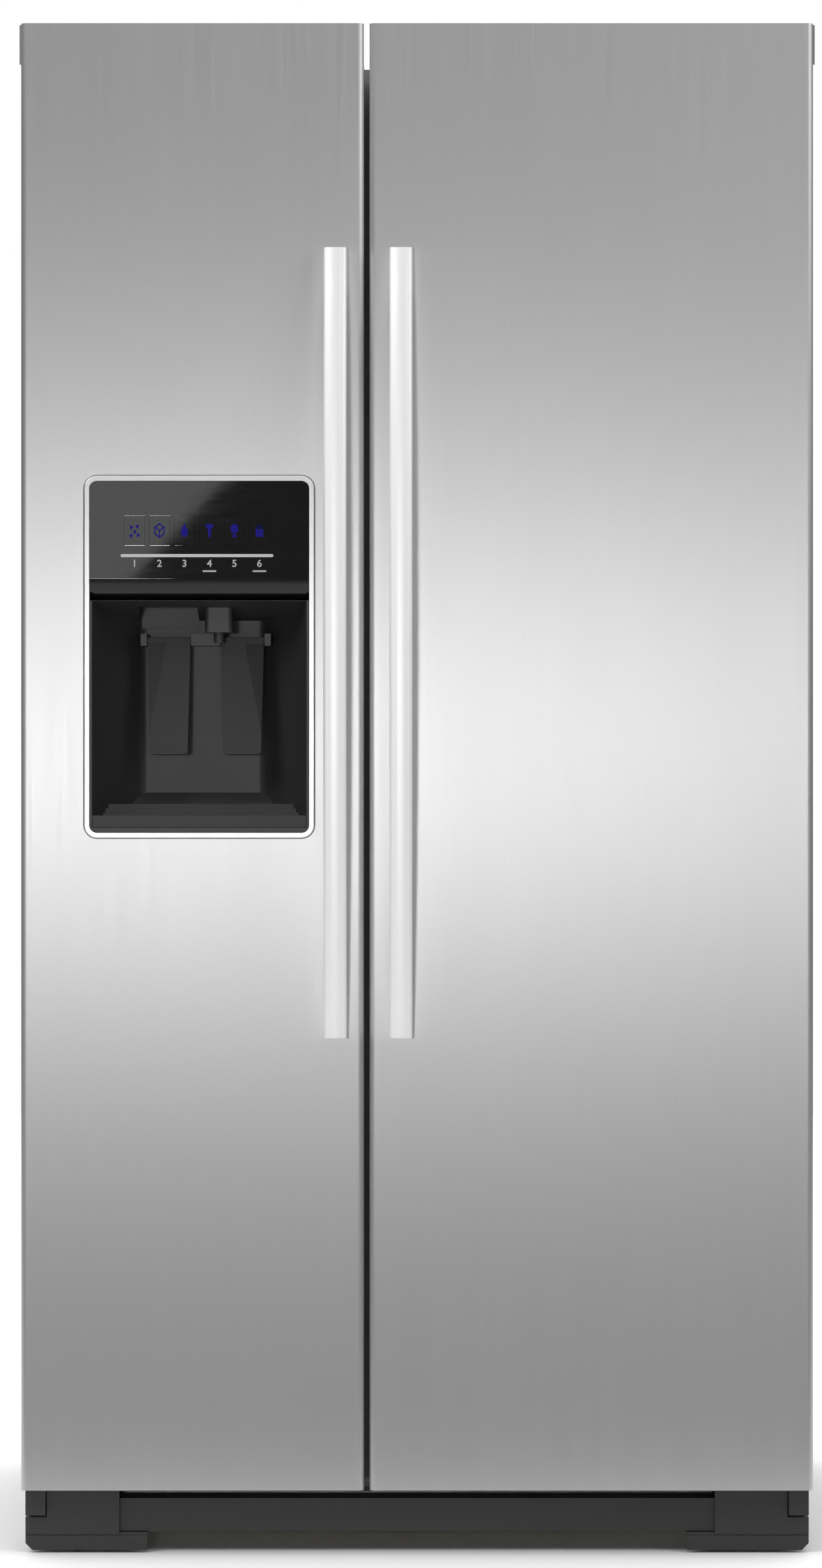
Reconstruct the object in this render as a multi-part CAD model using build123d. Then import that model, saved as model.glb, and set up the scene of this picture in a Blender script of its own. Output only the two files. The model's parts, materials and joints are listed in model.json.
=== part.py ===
"""Side by side refrigerator: freezer on the left, fresh food compartment on the right.

Millimetres, +Z up, doors facing -Y. The origin is on the floor, below the centre of the
overall box (handles included). Each function from cabinet_wrapper() on returns the solids
of one node; build() writes them.
"""
import os
from math import cos, radians, sin, tan

from build123d import *

# ---------------------------------------------------------------- overall layout
OVERALL_WIDTH = 908.0        # over both doors
CABINET_INSET = 3.0          # the cabinet side sits this far inside the door edge
CABINET_CORNER = 6.0         # bend of the wrapper between sides and top
BASE_HEIGHT = 75.0           # floor to the doors' lower edge
DOOR_HEIGHT = 1680.0         # lower edge to the top of the front lip
DOOR_LIP = 46.0              # the front lip stands this far above the door's body
LIP_THICKNESS = 8.0
HINGE_HEADROOM = 4.0         # door body top to the underside of the hinge arm
DOOR_THICKNESS = 64.0
DOOR_GAP = 6.5               # between the two doors
FREEZER_DOOR_WIDTH = 393.0
HANDLE_STANDOFF = 58.0       # door face to the front of the handle
GASKET_THICKNESS = 12.0
CABINET_DEPTH = 700.0
REAR_BULGE = 10.0            # the machine cover stands out behind the cabinet

# ---------------------------------------------------------------- sheet and wall sizes
SHEET = 1.0                  # steel sheet
LINER_WALL = 2.0
FREEZER_SIDE_WALL = 48.0     # cabinet side to the inside of the liner
FRIDGE_SIDE_WALL = 42.0
PARTITION = 56.0             # between the two compartments
TOP_WALL = 50.0
BACK_WALL = 55.0
FLOOR_Z = 133.0              # inside floor of both compartments
FOAM_BOTTOM_Z = 79.0
SIDE_BOTTOM_Z = 28.0         # lower edge of the wrapper's sides
MACHINE_DEPTH = 240.0        # machine room, at the back of the base
MACHINE_TOP_Z = 300.0
MACHINE_WALL = 45.0          # insulation over and before the machine room
LINER_CORNER = 22.0

# ---------------------------------------------------------------- doors
SKIN_CORNER = 7.0            # outer radius of the door's vertical front edges
SKIN_RETURN = 5.0            # the skin's sides stop this far before the door's back
CAP_HEIGHT = 14.0
CAP_FLARE = 2.0              # the top lip stands proud of the hinge-side edge
FLARE_DEPTH = 3.0
HINGE_INSET = 16.0           # hinge axis from the door's outer edge
HINGE_SETBACK = 30.0         # hinge axis from the door's front face
HINGE_PIN_RADIUS = 5.0
RUNNING_CLEARANCE = 0.06     # radial, for every pin that turns in a bore
HINGE_PIN_DEPTH = 12.0       # engaged length in each cap
HINGE_PLATE = 4.0
DYKE_HEIGHT = 30.0           # the liner's raised rim behind each door
DYKE_WIDTH = 24.0
DYKE_CLEARANCE = 10.0        # rim to the compartment wall
LUG = 9.0                    # moulded lugs that carry the door bins
GASKET_WIDTH = 18.0
GASKET_HINGE_INSET = 18.0
GASKET_FREE_INSET = 5.0
GASKET_END_INSET = 20.0
TOUCH = 0.3                  # running gap between parts of different bodies

# ---------------------------------------------------------------- handles
HANDLE_WIDTH = 26.0
HANDLE_BOTTOM_Z = 594.0
HANDLE_LENGTH = 902.0
HANDLE_END_DEPTH = 24.0      # door face to the front of the bar at its ends
HANDLE_BAR = 17.0            # thickness of the bar at mid height
HANDLE_FOOT = 46.0
HANDLE_EDGE = 5.0
FREEZER_HANDLE_INSET = 32.5  # handle centre from the door's free edge
FRIDGE_HANDLE_INSET = 36.0
STUD_RADIUS = 4.0
STUD_DEPTH = 14.0

# ---------------------------------------------------------------- dispenser
DISPENSER_INSET = 78.5       # opening from the freezer door's hinge-side edge
DISPENSER_WIDTH = 252.0
DISPENSER_BOTTOM_Z = 828.0
DISPENSER_HEIGHT = 403.0
DISPENSER_CORNER = 9.0
DISPENSER_RIM_DEPTH = 30.0   # the housing's straight collar behind the door's face
BEZEL_WIDTH = 6.0
BEZEL_PROUD = 2.0
PANEL_HEIGHT = 136.0         # glossy control panel, at the top of the opening
PANEL_THICKNESS = 5.0
PANEL_PROUD = 3.0
PANEL_ROLL = 24.0            # radius of the panel's rolled lower edge
PANEL_CHAMBER = 16.0         # space behind the panel for its keys
RECESS_DEPTH = 92.0          # door face to the back of the glass recess
RECESS_BACK_WIDTH = 139.0    # flat back wall between the hollow side walls
RECESS_BOW = 10.0            # the side walls curve outwards by this much
RECESS_CORNER = 14.0
RECESS_DRAFT = 21.0          # the ceiling falls by this much towards the back
RAMP_HEIGHT = 40.0           # the foot of the back wall slopes towards the user
RAMP_FRONT = 60.0
HOUSING_WALL = 3.0
KEY_COUNT = 6
KEY_PITCH = 28.6
KEY_WIDTH = 23.0
KEY_HEIGHT = 34.0
KEY_DEPTH = 7.0
KEY_Z = 1174.0
KEY_SHIFT = -2.5
KEY_FLANGE = 1.5
KEY_CLEARANCE = 0.35
PADDLE_WIDTH = 50.0
PADDLE_HEIGHT = 139.0
PADDLE_TOP_Z = 1056.0
PADDLE_SPACING = 85.0
PADDLE_SHIFT = 4.8           # the pair sits this far towards the handle
PADDLE_THICKNESS = 3.0
PADDLE_PIN_RADIUS = 2.5
PADDLE_PIN_DROP = 6.0
PADDLE_PIN_REACH = 4.0
PADDLE_SETBACK = 26.0        # pivot before the recess's back wall
PADDLE_TILT = 6.0            # rest angle, lower end towards the user
PADDLE_FACET = 1.4           # depth of the sloped facet at its outer top corner
CHUTE_RADIUS = 27.0          # bore of the ice chute
CHUTE_WALL = 3.0
CHUTE_OFFSET = -38.0         # chute centre from the dispenser centre
CHUTE_Y = 68.0               # chute outlet behind the door face
CHUTE_RISE = 13.0            # chute outlet above the panel's lower edge
CHUTE_LEAN = 32.0            # degrees from vertical, top towards the freezer
CHUTE_LENGTH = 97.0
FLAP_THICKNESS = 3.0
FLAP_ARM = 34.5              # chute axis to the flap's pin
FLAP_PIN_RADIUS = 2.0
POCKET_HALF_WIDTH = 34.0     # space the flap swings in
POCKET_REACH = (-38.0, 30.0)
POCKET_HEIGHT = 22.0
SPOUT_OFFSET = 21.0
SPOUT_WIDTH = 32.0
TRAY_LIP = 14.0
TRAY_DEPTH = 58.0
TRAY_BAR = 3.0
TRAY_BAR_PITCH = 6.0
TRAY_RISERS = 3              # rear bars of the grid, each one higher
TRAY_RISE = 5.0

# ---------------------------------------------------------------- base
GRILLE_SETBACK = 24.0        # end blocks behind the door face
GRILLE_RECESS = 7.0          # centre panel behind the end blocks
GRILLE_THICKNESS = 4.0
GRILLE_BLOCK = 108.0         # width of each end block
GRILLE_TOP_Z = 72.0
GRILLE_PANEL_TOP_Z = 62.0
GRILLE_PANEL_BOTTOM_Z = 24.0
SKIRT_WIDTH = 140.0
SKIRT_BOTTOM_Z = 3.0
SKIRT_TOP_Z = 20.0
HINGE_NOTCH = 24.5
ROLLER_RADIUS = 22.0
ROLLER_WIDTH = 18.0
AXLE_RADIUS = 4.0
FRONT_ROLLER_LIFT = 1.5      # the front rollers hang clear while the feet carry the front
ROLLER_INSET = 79.0          # from the cabinet's side
FRONT_ROLLER_Y = 62.0        # behind the cabinet's front
REAR_ROLLER_Y = 40.0         # before the cabinet's back
FORK_SHEET = 3.0
FOOT_RADIUS = 15.0
FOOT_HEIGHT = 9.0
STEM_RADIUS = 5.0
FOOT_INSET = 33.0
FOOT_Y = 26.0
DECK_Z = 62.0                # top of the base deck
DECK_SHEET = 2.0
RAIL = 40.0                  # width of the base's cross rails

# ---------------------------------------------------------------- interior
SHELF_GLASS = 4.0
SHELF_RIM = 14.0             # height and width of a shelf's frame
SHELF_CLEARANCE = 2.0
SHELF_SETBACK = 135.0        # shelf front behind the cabinet's front
FREEZER_SHELF_Z = (560.0, 780.0, 1000.0)
ICE_SHELF_Z = 1195.0
FRIDGE_SHELF_Z = (760.0, 985.0, 1210.0)
LEDGE = 10.0
TRACK_INSET = 70.0           # shelf tracks from the fridge's side walls
TRACK_WIDTH = 16.0
TRACK_DEPTH = 6.0
TRACK_SPAN = (680.0, 1600.0)
ARM_LENGTH = 230.0
ARM_HEIGHT = 40.0
TUB_WALL = 2.5
TUB_CORNER = 16.0
COVER_GAP = 3.0              # drawer top to the cover above it
CRISPER_HEIGHT = 200.0
UPPER_CRISPER_HEIGHT = 150.0
DELI_HEIGHT = 105.0
PULL_GAP = 26.0              # finger gap above a drawer's front
PULL_WIDTH = 170.0
BASKET_HEIGHT = 165.0
FREEZER_BIN_DEPTH = 98.0
FRIDGE_BIN_DEPTH = 118.0
BIN_HEIGHT = 88.0
BIN_WALL = 3.0
BIN_CORNER = 14.0
FREEZER_BIN_Z = (195.0, 405.0, 615.0, 1335.0, 1505.0)
FRIDGE_BIN_Z = (195.0, 480.0, 790.0, 1110.0)
DAIRY_Z = 1440.0
DAIRY_WIDTH_GAP = 14.0
DAIRY_FRONT = 22.0           # height of the dairy box's fixed front
DAIRY_RADIUS = 94.0
DAIRY_LID_RADIUS = 100.0
DAIRY_LID_SHEET = 3.0
DAIRY_PIN_RADIUS = 3.0
DAIRY_PIN_POLAR = (88.0, 75.0)
DUCT_DEPTH = 76.0            # evaporator space behind its cover
DUCT_TOP_Z = 1120.0
DUCT_SHEET = 3.0
FAN_Z = 985.0
FAN_RADIUS = 55.0
FAN_DEPTH = 22.0
FAN_SHAFT = 3.0
ICE_MAKER_X = 58.0           # mould centre from the freezer's left wall
ICE_MAKER_Z = 1500.0         # ejector shaft
ICE_MAKER_Y = (60.0, 320.0)  # behind the shelf fronts
MOULD_RADIUS = 34.0
MOULD_WALL = 5.0
EJECTOR_RADIUS = 4.0
CELLS = 7
ICE_BIN_HEIGHT = 190.0
ICE_BIN_OVERHANG = 45.0      # the ice bin's front stands before its shelf
AUGER_Z = 52.0               # auger shaft above the ice shelf
AUGER_RADIUS = 36.0
AUGER_SHAFT = 6.0
AUGER_PITCH = 28.0
CONTROL_HEIGHT = 42.0
CONTROL_DEPTH = 200.0

# ---------------------------------------------------------------- machine room
COMPRESSOR_RADIUS = 72.0
COMPRESSOR_HEIGHT = 165.0
COMPRESSOR_INSET = 151.0     # from the cabinet's right side
FAN_TO_COMPRESSOR = 190.0
CONDENSER_FAN_RADIUS = 75.0
CONDENSER_FAN_Z = 185.0
SHROUD_SHEET = 4.0
TUBE_RADIUS = 4.0
TUBE_BEND = 16.0
CONDENSER_INSET = 56.0       # from the cabinet's left side
CONDENSER_TO_FAN = 80.0
CONDENSER_LEVELS = (125.0, 165.0, 205.0, 245.0)
PAN_HEIGHT = 34.0
EVAPORATOR_Z = (430.0, 790.0)
EVAPORATOR_DEPTH = 46.0
FIN_GROOVES = 14
LOUVRES = 9
FITTING_RADIUS = 9.0         # cord gland and water inlet in the rear cover
FITTING_INSET = 24.0
FITTING_HEIGHT = 40.0

# ---------------------------------------------------------------- derived positions
TOTAL_DEPTH = HANDLE_STANDOFF + DOOR_THICKNESS + GASKET_THICKNESS + CABINET_DEPTH + REAR_BULGE
DOOR_FRONT = HANDLE_STANDOFF - TOTAL_DEPTH / 2
DOOR_BACK = DOOR_FRONT + DOOR_THICKNESS
CABINET_FRONT = DOOR_BACK + GASKET_THICKNESS
CABINET_BACK = CABINET_FRONT + CABINET_DEPTH
HALF_DOORS = OVERALL_WIDTH / 2
HALF_CABINET = HALF_DOORS - CABINET_INSET
DOOR_TOP = BASE_HEIGHT + DOOR_HEIGHT
DOOR_BODY_TOP = DOOR_TOP - DOOR_LIP
CABINET_TOP = DOOR_BODY_TOP + HINGE_HEADROOM
CEILING_Z = CABINET_TOP - TOP_WALL
LINER_BACK = CABINET_BACK - BACK_WALL
MACHINE_FRONT = CABINET_BACK - MACHINE_DEPTH
HUMP_FRONT = MACHINE_FRONT - MACHINE_WALL
HUMP_TOP = MACHINE_TOP_Z + MACHINE_WALL
GAP_X = FREEZER_DOOR_WIDTH + DOOR_GAP / 2 - HALF_DOORS
FREEZER_X = (-HALF_CABINET + FREEZER_SIDE_WALL, GAP_X - PARTITION / 2)
FRIDGE_X = (GAP_X + PARTITION / 2, HALF_CABINET - FRIDGE_SIDE_WALL)
SHELF_FRONT = CABINET_FRONT + SHELF_SETBACK
DUCT_FRONT = LINER_BACK - DUCT_DEPTH
HINGE_Y = DOOR_FRONT + HINGE_SETBACK
DISPENSER_LEFT = -HALF_DOORS + DISPENSER_INSET
DISPENSER_X = (DISPENSER_LEFT, DISPENSER_LEFT + DISPENSER_WIDTH)
DISPENSER_Z = (DISPENSER_BOTTOM_Z, DISPENSER_BOTTOM_Z + DISPENSER_HEIGHT)
DISPENSER_CENTRE = sum(DISPENSER_X) / 2
PANEL_BOTTOM_Z = DISPENSER_Z[1] - PANEL_HEIGHT
PANEL_FRONT = DOOR_FRONT - PANEL_PROUD
RECESS_BACK = DOOR_FRONT + RECESS_DEPTH
RECESS_Z = (DISPENSER_BOTTOM_Z + 6, PANEL_BOTTOM_Z)
PADDLE_PIVOT = (RECESS_BACK - PADDLE_SETBACK, PADDLE_TOP_Z - PADDLE_PIN_DROP)
PADDLE_CENTRE = DISPENSER_CENTRE + PADDLE_SHIFT
CHUTE_X = DISPENSER_CENTRE + CHUTE_OFFSET
CHUTE_OUTLET = (DOOR_FRONT + CHUTE_Y, PANEL_BOTTOM_Z + CHUTE_RISE)
CHUTE_INLET = (
    CHUTE_OUTLET[0] + CHUTE_LENGTH * sin(radians(CHUTE_LEAN)),
    CHUTE_OUTLET[1] + CHUTE_LENGTH * cos(radians(CHUTE_LEAN)),
)
FLAP_PIVOT = (
    CHUTE_OUTLET[0] - FLAP_ARM * cos(radians(CHUTE_LEAN)),
    CHUTE_OUTLET[1] + FLAP_ARM * sin(radians(CHUTE_LEAN)) - 3,
)
FOOT_X = HALF_CABINET - FOOT_INSET
ROLLER_X = HALF_CABINET - ROLLER_INSET
COMPRESSOR_X = HALF_CABINET - COMPRESSOR_INSET
CONDENSER_FAN_X = COMPRESSOR_X - FAN_TO_COMPRESSOR
CONDENSER_X = (CONDENSER_INSET - HALF_CABINET, CONDENSER_FAN_X - CONDENSER_TO_FAN)
MOULD_Y = tuple(SHELF_FRONT + y for y in ICE_MAKER_Y)
MOULD_X = FREEZER_X[0] + ICE_MAKER_X
FREEZER_MIDDLE = sum(FREEZER_X) / 2


# ---------------------------------------------------------------- shared shapes
def block(x, y, z):
    """A box from its limits along X, Y and Z."""
    spans = (x, y, z)
    middle = [(low + high) / 2 for low, high in spans]
    return Pos(*middle) * Box(*[high - low for low, high in spans])


def rounded(x, y, z, radius, axis):
    """A box from its limits with the four edges along one axis rounded."""
    body = block(x, y, z)
    return fillet(body.edges().filter_by(axis), radius)


def grown(span, by):
    """A span widened by the same amount at both ends."""
    return span[0] - by, span[1] + by


def ordered(a, b):
    return (a, b) if a < b else (b, a)


def rod(start, axis, radius, length):
    """A cylinder from a start point along X, Y or Z."""
    direction = {"X": (1, 0, 0), "Y": (0, 1, 0), "Z": (0, 0, 1)}[axis]
    return extrude(Plane(origin=start, z_dir=direction) * Circle(radius), amount=length)


def side_profile(x, points):
    """A prism along X from a closed outline of (y, z) points."""
    outline = Plane.YZ.offset(x[0]) * Polygon(*points, align=None)
    return extrude(outline, amount=x[1] - x[0], dir=(1, 0, 0))


def tub(x, y, z, wall, corner):
    """An open-topped bin with rounded upright corners."""
    outer = rounded(x, y, z, corner, Axis.Z)
    inside_z = (z[0] + wall, z[1] + wall)
    return outer - rounded(grown(x, -wall), grown(y, -wall), inside_z, corner - wall, Axis.Z)


def tube(points, bend, radius):
    """A bent tube along a path with rounded corners. Its section has eight sides."""
    path = FilletPolyline(*points, radius=bend)
    return sweep(Plane(origin=path @ 0, z_dir=path % 0) * RegularPolygon(radius, 8), path=path)


def both_sides(shapes):
    """The given shapes and their mirror images across the middle of the cabinet."""
    return [*shapes, *(mirror(shape, about=Plane.YZ) for shape in shapes)]


def save(name, *shapes):
    """Write one node: every solid of the given shapes, kept as separate solids."""
    solids = [solid for shape in shapes for solid in shape.solids()]
    export_step(solids[0] if len(solids) == 1 else Compound(solids), f"parts/{name}.step")


class DoorFrame:
    """Places things on a door by u, the distance from its hinge-side edge."""

    def __init__(self, outer_x, width, side, compartment_x, handle_inset, bin_heights, bin_depth):
        self.outer_x = outer_x
        self.width = width
        self.side = side
        self.compartment_x = compartment_x
        self.handle_x = self.x(width - handle_inset)
        self.hinge_x = self.x(HINGE_INSET)
        self.bin_heights = bin_heights
        self.bin_depth = bin_depth
        self.rim_x = grown(compartment_x, -DYKE_CLEARANCE)
        self.bin_x = grown(self.rim_x, -DYKE_WIDTH)

    def x(self, u):
        return self.outer_x + self.side * u

    def across(self, u0, u1):
        return ordered(self.x(u0), self.x(u1))

    def past_edges(self):
        return self.across(-5, self.width + 5)


FREEZER_DOOR = DoorFrame(
    -HALF_DOORS, FREEZER_DOOR_WIDTH, 1, FREEZER_X,
    FREEZER_HANDLE_INSET, FREEZER_BIN_Z, FREEZER_BIN_DEPTH,
)
FRIDGE_DOOR = DoorFrame(
    HALF_DOORS, OVERALL_WIDTH - FREEZER_DOOR_WIDTH - DOOR_GAP, -1, FRIDGE_X,
    FRIDGE_HANDLE_INSET, FRIDGE_BIN_Z, FRIDGE_BIN_DEPTH,
)


# ---------------------------------------------------------------- cabinet
def compartment(x, grow):
    """One compartment's space, stepped over the machine room, grown on every side but the front."""
    low, high = FLOOR_Z - grow, CEILING_Z + grow
    points = [
        (CABINET_FRONT, low),
        (HUMP_FRONT + grow, low),
        (HUMP_FRONT + grow, HUMP_TOP - grow),
        (LINER_BACK + grow, HUMP_TOP - grow),
        (LINER_BACK + grow, high),
        (CABINET_FRONT, high),
    ]
    body = side_profile(grown(x, grow), points)
    long_edges = body.edges().filter_by(Axis.X).filter_by(lambda e: e.center().Y > CABINET_FRONT + 1)
    return fillet(long_edges, LINER_CORNER)


def cabinet_block(inset, y, bottom_z):
    """The cabinet's cross-section, inset from its outside, with the bends of the top corners."""
    body = block(grown((-HALF_CABINET, HALF_CABINET), -inset), y, (bottom_z, CABINET_TOP - inset))
    bends = body.edges().filter_by(Axis.Y).filter_by(lambda e: e.center().Z > bottom_z + 1)
    return fillet(bends, CABINET_CORNER - inset)


def cabinet_wrapper():
    """Steel sides, top and the front flange that the gaskets seal against."""
    shell = cabinet_block(0, (CABINET_FRONT, CABINET_BACK), SIDE_BOTTOM_Z)
    shell -= cabinet_block(SHEET, (CABINET_FRONT + SHEET, CABINET_BACK + 1), SIDE_BOTTOM_Z - 1)
    below = (-HALF_CABINET + SHEET, HALF_CABINET - SHEET)
    shell -= block(below, (CABINET_FRONT - 1, CABINET_FRONT + 2), (SIDE_BOTTOM_Z - 1, FOAM_BOTTOM_Z))
    for space in (FREEZER_X, FRIDGE_X):
        shell -= compartment(space, LINER_WALL)
    return shell


def rear_panel():
    return cabinet_block(SHEET, (CABINET_BACK - SHEET, CABINET_BACK), MACHINE_TOP_Z)


def cabinet_foam():
    """Insulation foamed between the wrapper and the two liners."""
    body = cabinet_block(SHEET, (CABINET_FRONT + SHEET, CABINET_BACK - SHEET), FOAM_BOTTOM_Z)
    room = (MACHINE_FRONT, CABINET_BACK + 1)
    body -= block((-HALF_CABINET, HALF_CABINET), room, (FOAM_BOTTOM_Z - 1, MACHINE_TOP_Z))
    for space in (FREEZER_X, FRIDGE_X):
        body -= compartment(space, LINER_WALL)
    return body


def liner(x, ledge_heights, ledge_y):
    """A vacuum-formed liner with ledges moulded on both side walls."""
    shell = compartment(x, LINER_WALL) - compartment(x, 0)
    for z in ledge_heights:
        for wall in ((x[0], x[0] + LEDGE), (x[1] - LEDGE, x[1])):
            shell += block(wall, ledge_y, (z - LEDGE, z))
    return shell


def freezer_liner():
    heights = [z - SHELF_RIM for z in FREEZER_SHELF_Z + (ICE_SHELF_Z,)]
    return liner(FREEZER_X, heights, (SHELF_FRONT + 10, DUCT_FRONT - 10))


def fridge_liner():
    heights = [top + COVER_GAP for _, top in drawer_spans()]
    return liner(FRIDGE_X, heights, (SHELF_FRONT + 10, HUMP_FRONT - 30))


def drawer_spans():
    """Lower and upper limits of the three fridge drawers, each under its own cover."""
    low = FLOOR_Z
    for height in (CRISPER_HEIGHT, UPPER_CRISPER_HEIGHT, DELI_HEIGHT):
        yield low, low + height
        low += height + COVER_GAP + SHELF_RIM


# ---------------------------------------------------------------- base
def roller_fork(y, axle_z):
    """A folded steel fork with its axle, hung under the deck at the left side."""
    inner = ROLLER_WIDTH / 2 + 1.0
    outer = inner + FORK_SHEET
    top = DECK_Z - DECK_SHEET
    fork = block((-ROLLER_X - outer, -ROLLER_X + outer), (y - 18, y + 18), (axle_z - 9, top))
    fork -= block((-ROLLER_X - inner, -ROLLER_X + inner), (y - 19, y + 19), (axle_z - 10, top - FORK_SHEET))
    return fork + rod((-ROLLER_X - outer, y, axle_z), "X", AXLE_RADIUS, 2 * outer)


def base_frame():
    """Deck of the machine room, side channels, front cross rail, foot bosses and roller forks."""
    x = (-HALF_CABINET + SHEET, HALF_CABINET - SHEET)
    front, back = CABINET_FRONT + 6, CABINET_BACK - 2
    sheet = (DECK_Z - DECK_SHEET, DECK_Z)
    upright = (DECK_Z - DECK_SHEET, FOAM_BOTTOM_Z)
    deck = block(x, (MACHINE_FRONT - RAIL, back), sheet)
    deck += block(x, (MACHINE_FRONT - RAIL, MACHINE_FRONT - RAIL + DECK_SHEET), upright)
    deck += block(x, (front, front + RAIL), sheet)
    deck += block(x, (front + RAIL - DECK_SHEET, front + RAIL), upright)
    for side in (-1, 1):
        web = ordered(side * x[1], side * (x[1] - DECK_SHEET))
        deck += block(web, (front, back), (SIDE_BOTTOM_Z + 4, FOAM_BOTTOM_Z))
        deck += block(ordered(side * x[1], side * (ROLLER_X - 20)), (front, back), sheet)
        foot = (side * FOOT_X, CABINET_FRONT + FOOT_Y)
        deck += rod((*foot, SIDE_BOTTOM_Z + 8), "Z", STEM_RADIUS + 5, DECK_Z - SIDE_BOTTOM_Z - 8)
        deck -= rod((*foot, SIDE_BOTTOM_Z), "Z", STEM_RADIUS + RUNNING_CLEARANCE, DECK_Z)
    forks = [
        roller_fork(CABINET_FRONT + FRONT_ROLLER_Y, ROLLER_RADIUS + FRONT_ROLLER_LIFT),
        roller_fork(CABINET_BACK - REAR_ROLLER_Y, ROLLER_RADIUS),
    ]
    for fork in both_sides(forks):
        deck += fork
    return deck


def rollers(y, axle_z):
    """A pair of nylon rollers, one on each fork's axle."""
    start = (-ROLLER_X - ROLLER_WIDTH / 2, y, axle_z)
    wheel = rod(start, "X", ROLLER_RADIUS, ROLLER_WIDTH)
    wheel = chamfer(wheel.edges().filter_by(GeomType.CIRCLE), 2.0)
    wheel -= rod((start[0] - 1, y, axle_z), "X", AXLE_RADIUS + RUNNING_CLEARANCE, ROLLER_WIDTH + 2)
    return both_sides([wheel])


def levelling_foot(side):
    """Screw-down foot: pad on the floor, hexagon, stem up through the base's boss."""
    x, y = side * FOOT_X, CABINET_FRONT + FOOT_Y
    pad = rod((x, y, 0), "Z", FOOT_RADIUS, FOOT_HEIGHT)
    pad = chamfer(pad.edges().filter_by(GeomType.CIRCLE).sort_by(Axis.Z)[-1], 2.0)
    nut = extrude(Plane(origin=(x, y, FOOT_HEIGHT)) * RegularPolygon(8.0, 6), amount=6.0)
    return pad + nut + rod((x, y, 0), "Z", STEM_RADIUS, DECK_Z - 4)


def grille_end(side):
    """One end of the toe grille: hollow block, hinge notch and the low skirt under it."""
    front, half = DOOR_FRONT + GRILLE_SETBACK, HALF_CABINET - 0.5
    ends = ordered(side * (half - GRILLE_BLOCK), side * half)
    split = SKIRT_TOP_Z + 1.5
    piece = block(ends, (front, CABINET_FRONT), (split, GRILLE_TOP_Z))
    piece -= block(grown(ends, -GRILLE_THICKNESS), (front + GRILLE_THICKNESS, CABINET_FRONT + 1),
                   (split - 1, GRILLE_TOP_Z - GRILLE_THICKNESS))
    notch = ordered(side * (half - HINGE_NOTCH), side * (half + 1))
    piece -= block(notch, (front - 1, CABINET_FRONT + 1), (BASE_HEIGHT - 34, GRILLE_TOP_Z + 1))
    skirt_x = ordered(side * (half - SKIRT_WIDTH), side * half)
    skirt = block(skirt_x, (front + 1, front + GRILLE_THICKNESS), (SKIRT_BOTTOM_Z, SKIRT_TOP_Z))
    corner = [e for e in skirt.edges().filter_by(Axis.Y)
              if e.center().Z < SKIRT_BOTTOM_Z + 1 and abs(e.center().X) > half - 1]
    skirt = chamfer(corner, 8.0)
    shelf = block(skirt_x, (front + 2, CABINET_FRONT - 10), (SKIRT_TOP_Z, split + 2))
    return piece + skirt + shelf


def base_grille():
    """Moulded toe grille: recessed centre panel between two end pieces."""
    panel_front = DOOR_FRONT + GRILLE_SETBACK + GRILLE_RECESS
    inner = HALF_CABINET - 0.5 - GRILLE_BLOCK
    across = (-inner - 2, inner + 2)
    body = block(across, (panel_front, panel_front + GRILLE_THICKNESS),
                 (GRILLE_PANEL_BOTTOM_Z, GRILLE_PANEL_TOP_Z))
    body += block(across, (panel_front, CABINET_FRONT), (GRILLE_PANEL_TOP_Z - 3, GRILLE_PANEL_TOP_Z))
    return body + grille_end(-1) + grille_end(1)


# ---------------------------------------------------------------- hinges
def top_hinge():
    """Left top hinge: plate on the cabinet, arm over the door, pin down into its cap."""
    pin_x, plate_y = FREEZER_DOOR.hinge_x, CABINET_FRONT + 84
    outline = Polygon(
        (pin_x - 8.5, HINGE_Y), (pin_x + 9, HINGE_Y), (pin_x + 62, CABINET_FRONT + 18),
        (pin_x + 62, plate_y), (pin_x + 2, plate_y), (pin_x - 2, CABINET_FRONT), align=None,
    )
    flat = outline + Pos(pin_x, HINGE_Y) * Circle(8.8)
    plate = extrude(Pos(0, 0, CABINET_TOP) * flat, amount=HINGE_PLATE)
    length = HINGE_PIN_DEPTH + HINGE_HEADROOM + HINGE_PLATE
    return plate + rod((pin_x, HINGE_Y, DOOR_BODY_TOP - HINGE_PIN_DEPTH), "Z", HINGE_PIN_RADIUS, length)


def bottom_hinge():
    """Left bottom hinge: folded bracket through the grille's notch, pin up into the door."""
    pin_x = FREEZER_DOOR.hinge_x
    x = (-HALF_CABINET + SHEET, pin_x + 11)
    top = BASE_HEIGHT - 2.0
    arm = block(x, (HINGE_Y - 13, CABINET_FRONT + 6), (top - HINGE_PLATE, top))
    arm += block(x, (HINGE_Y - 13, HINGE_Y - 9), (top - 29, top))
    arm += block(x, (CABINET_FRONT + 2, CABINET_FRONT + 6), (SIDE_BOTTOM_Z + 4, top))
    length = BASE_HEIGHT - top + HINGE_PLATE + HINGE_PIN_DEPTH
    return arm + rod((pin_x, HINGE_Y, top - HINGE_PLATE), "Z", HINGE_PIN_RADIUS, length)


def hinge_screws():
    """Hexagon-head screws on the left top hinge plate."""
    for dx, dy in ((16.0, 40.0), (44.0, 40.0), (30.0, 68.0)):
        seat = Pos(FREEZER_DOOR.hinge_x + dx, CABINET_FRONT + dy, CABINET_TOP + HINGE_PLATE)
        yield seat * extrude(RegularPolygon(5.5, 6), amount=4.0)


def door_hinges():
    return both_sides([top_hinge(), bottom_hinge(), *hinge_screws()])


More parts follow.
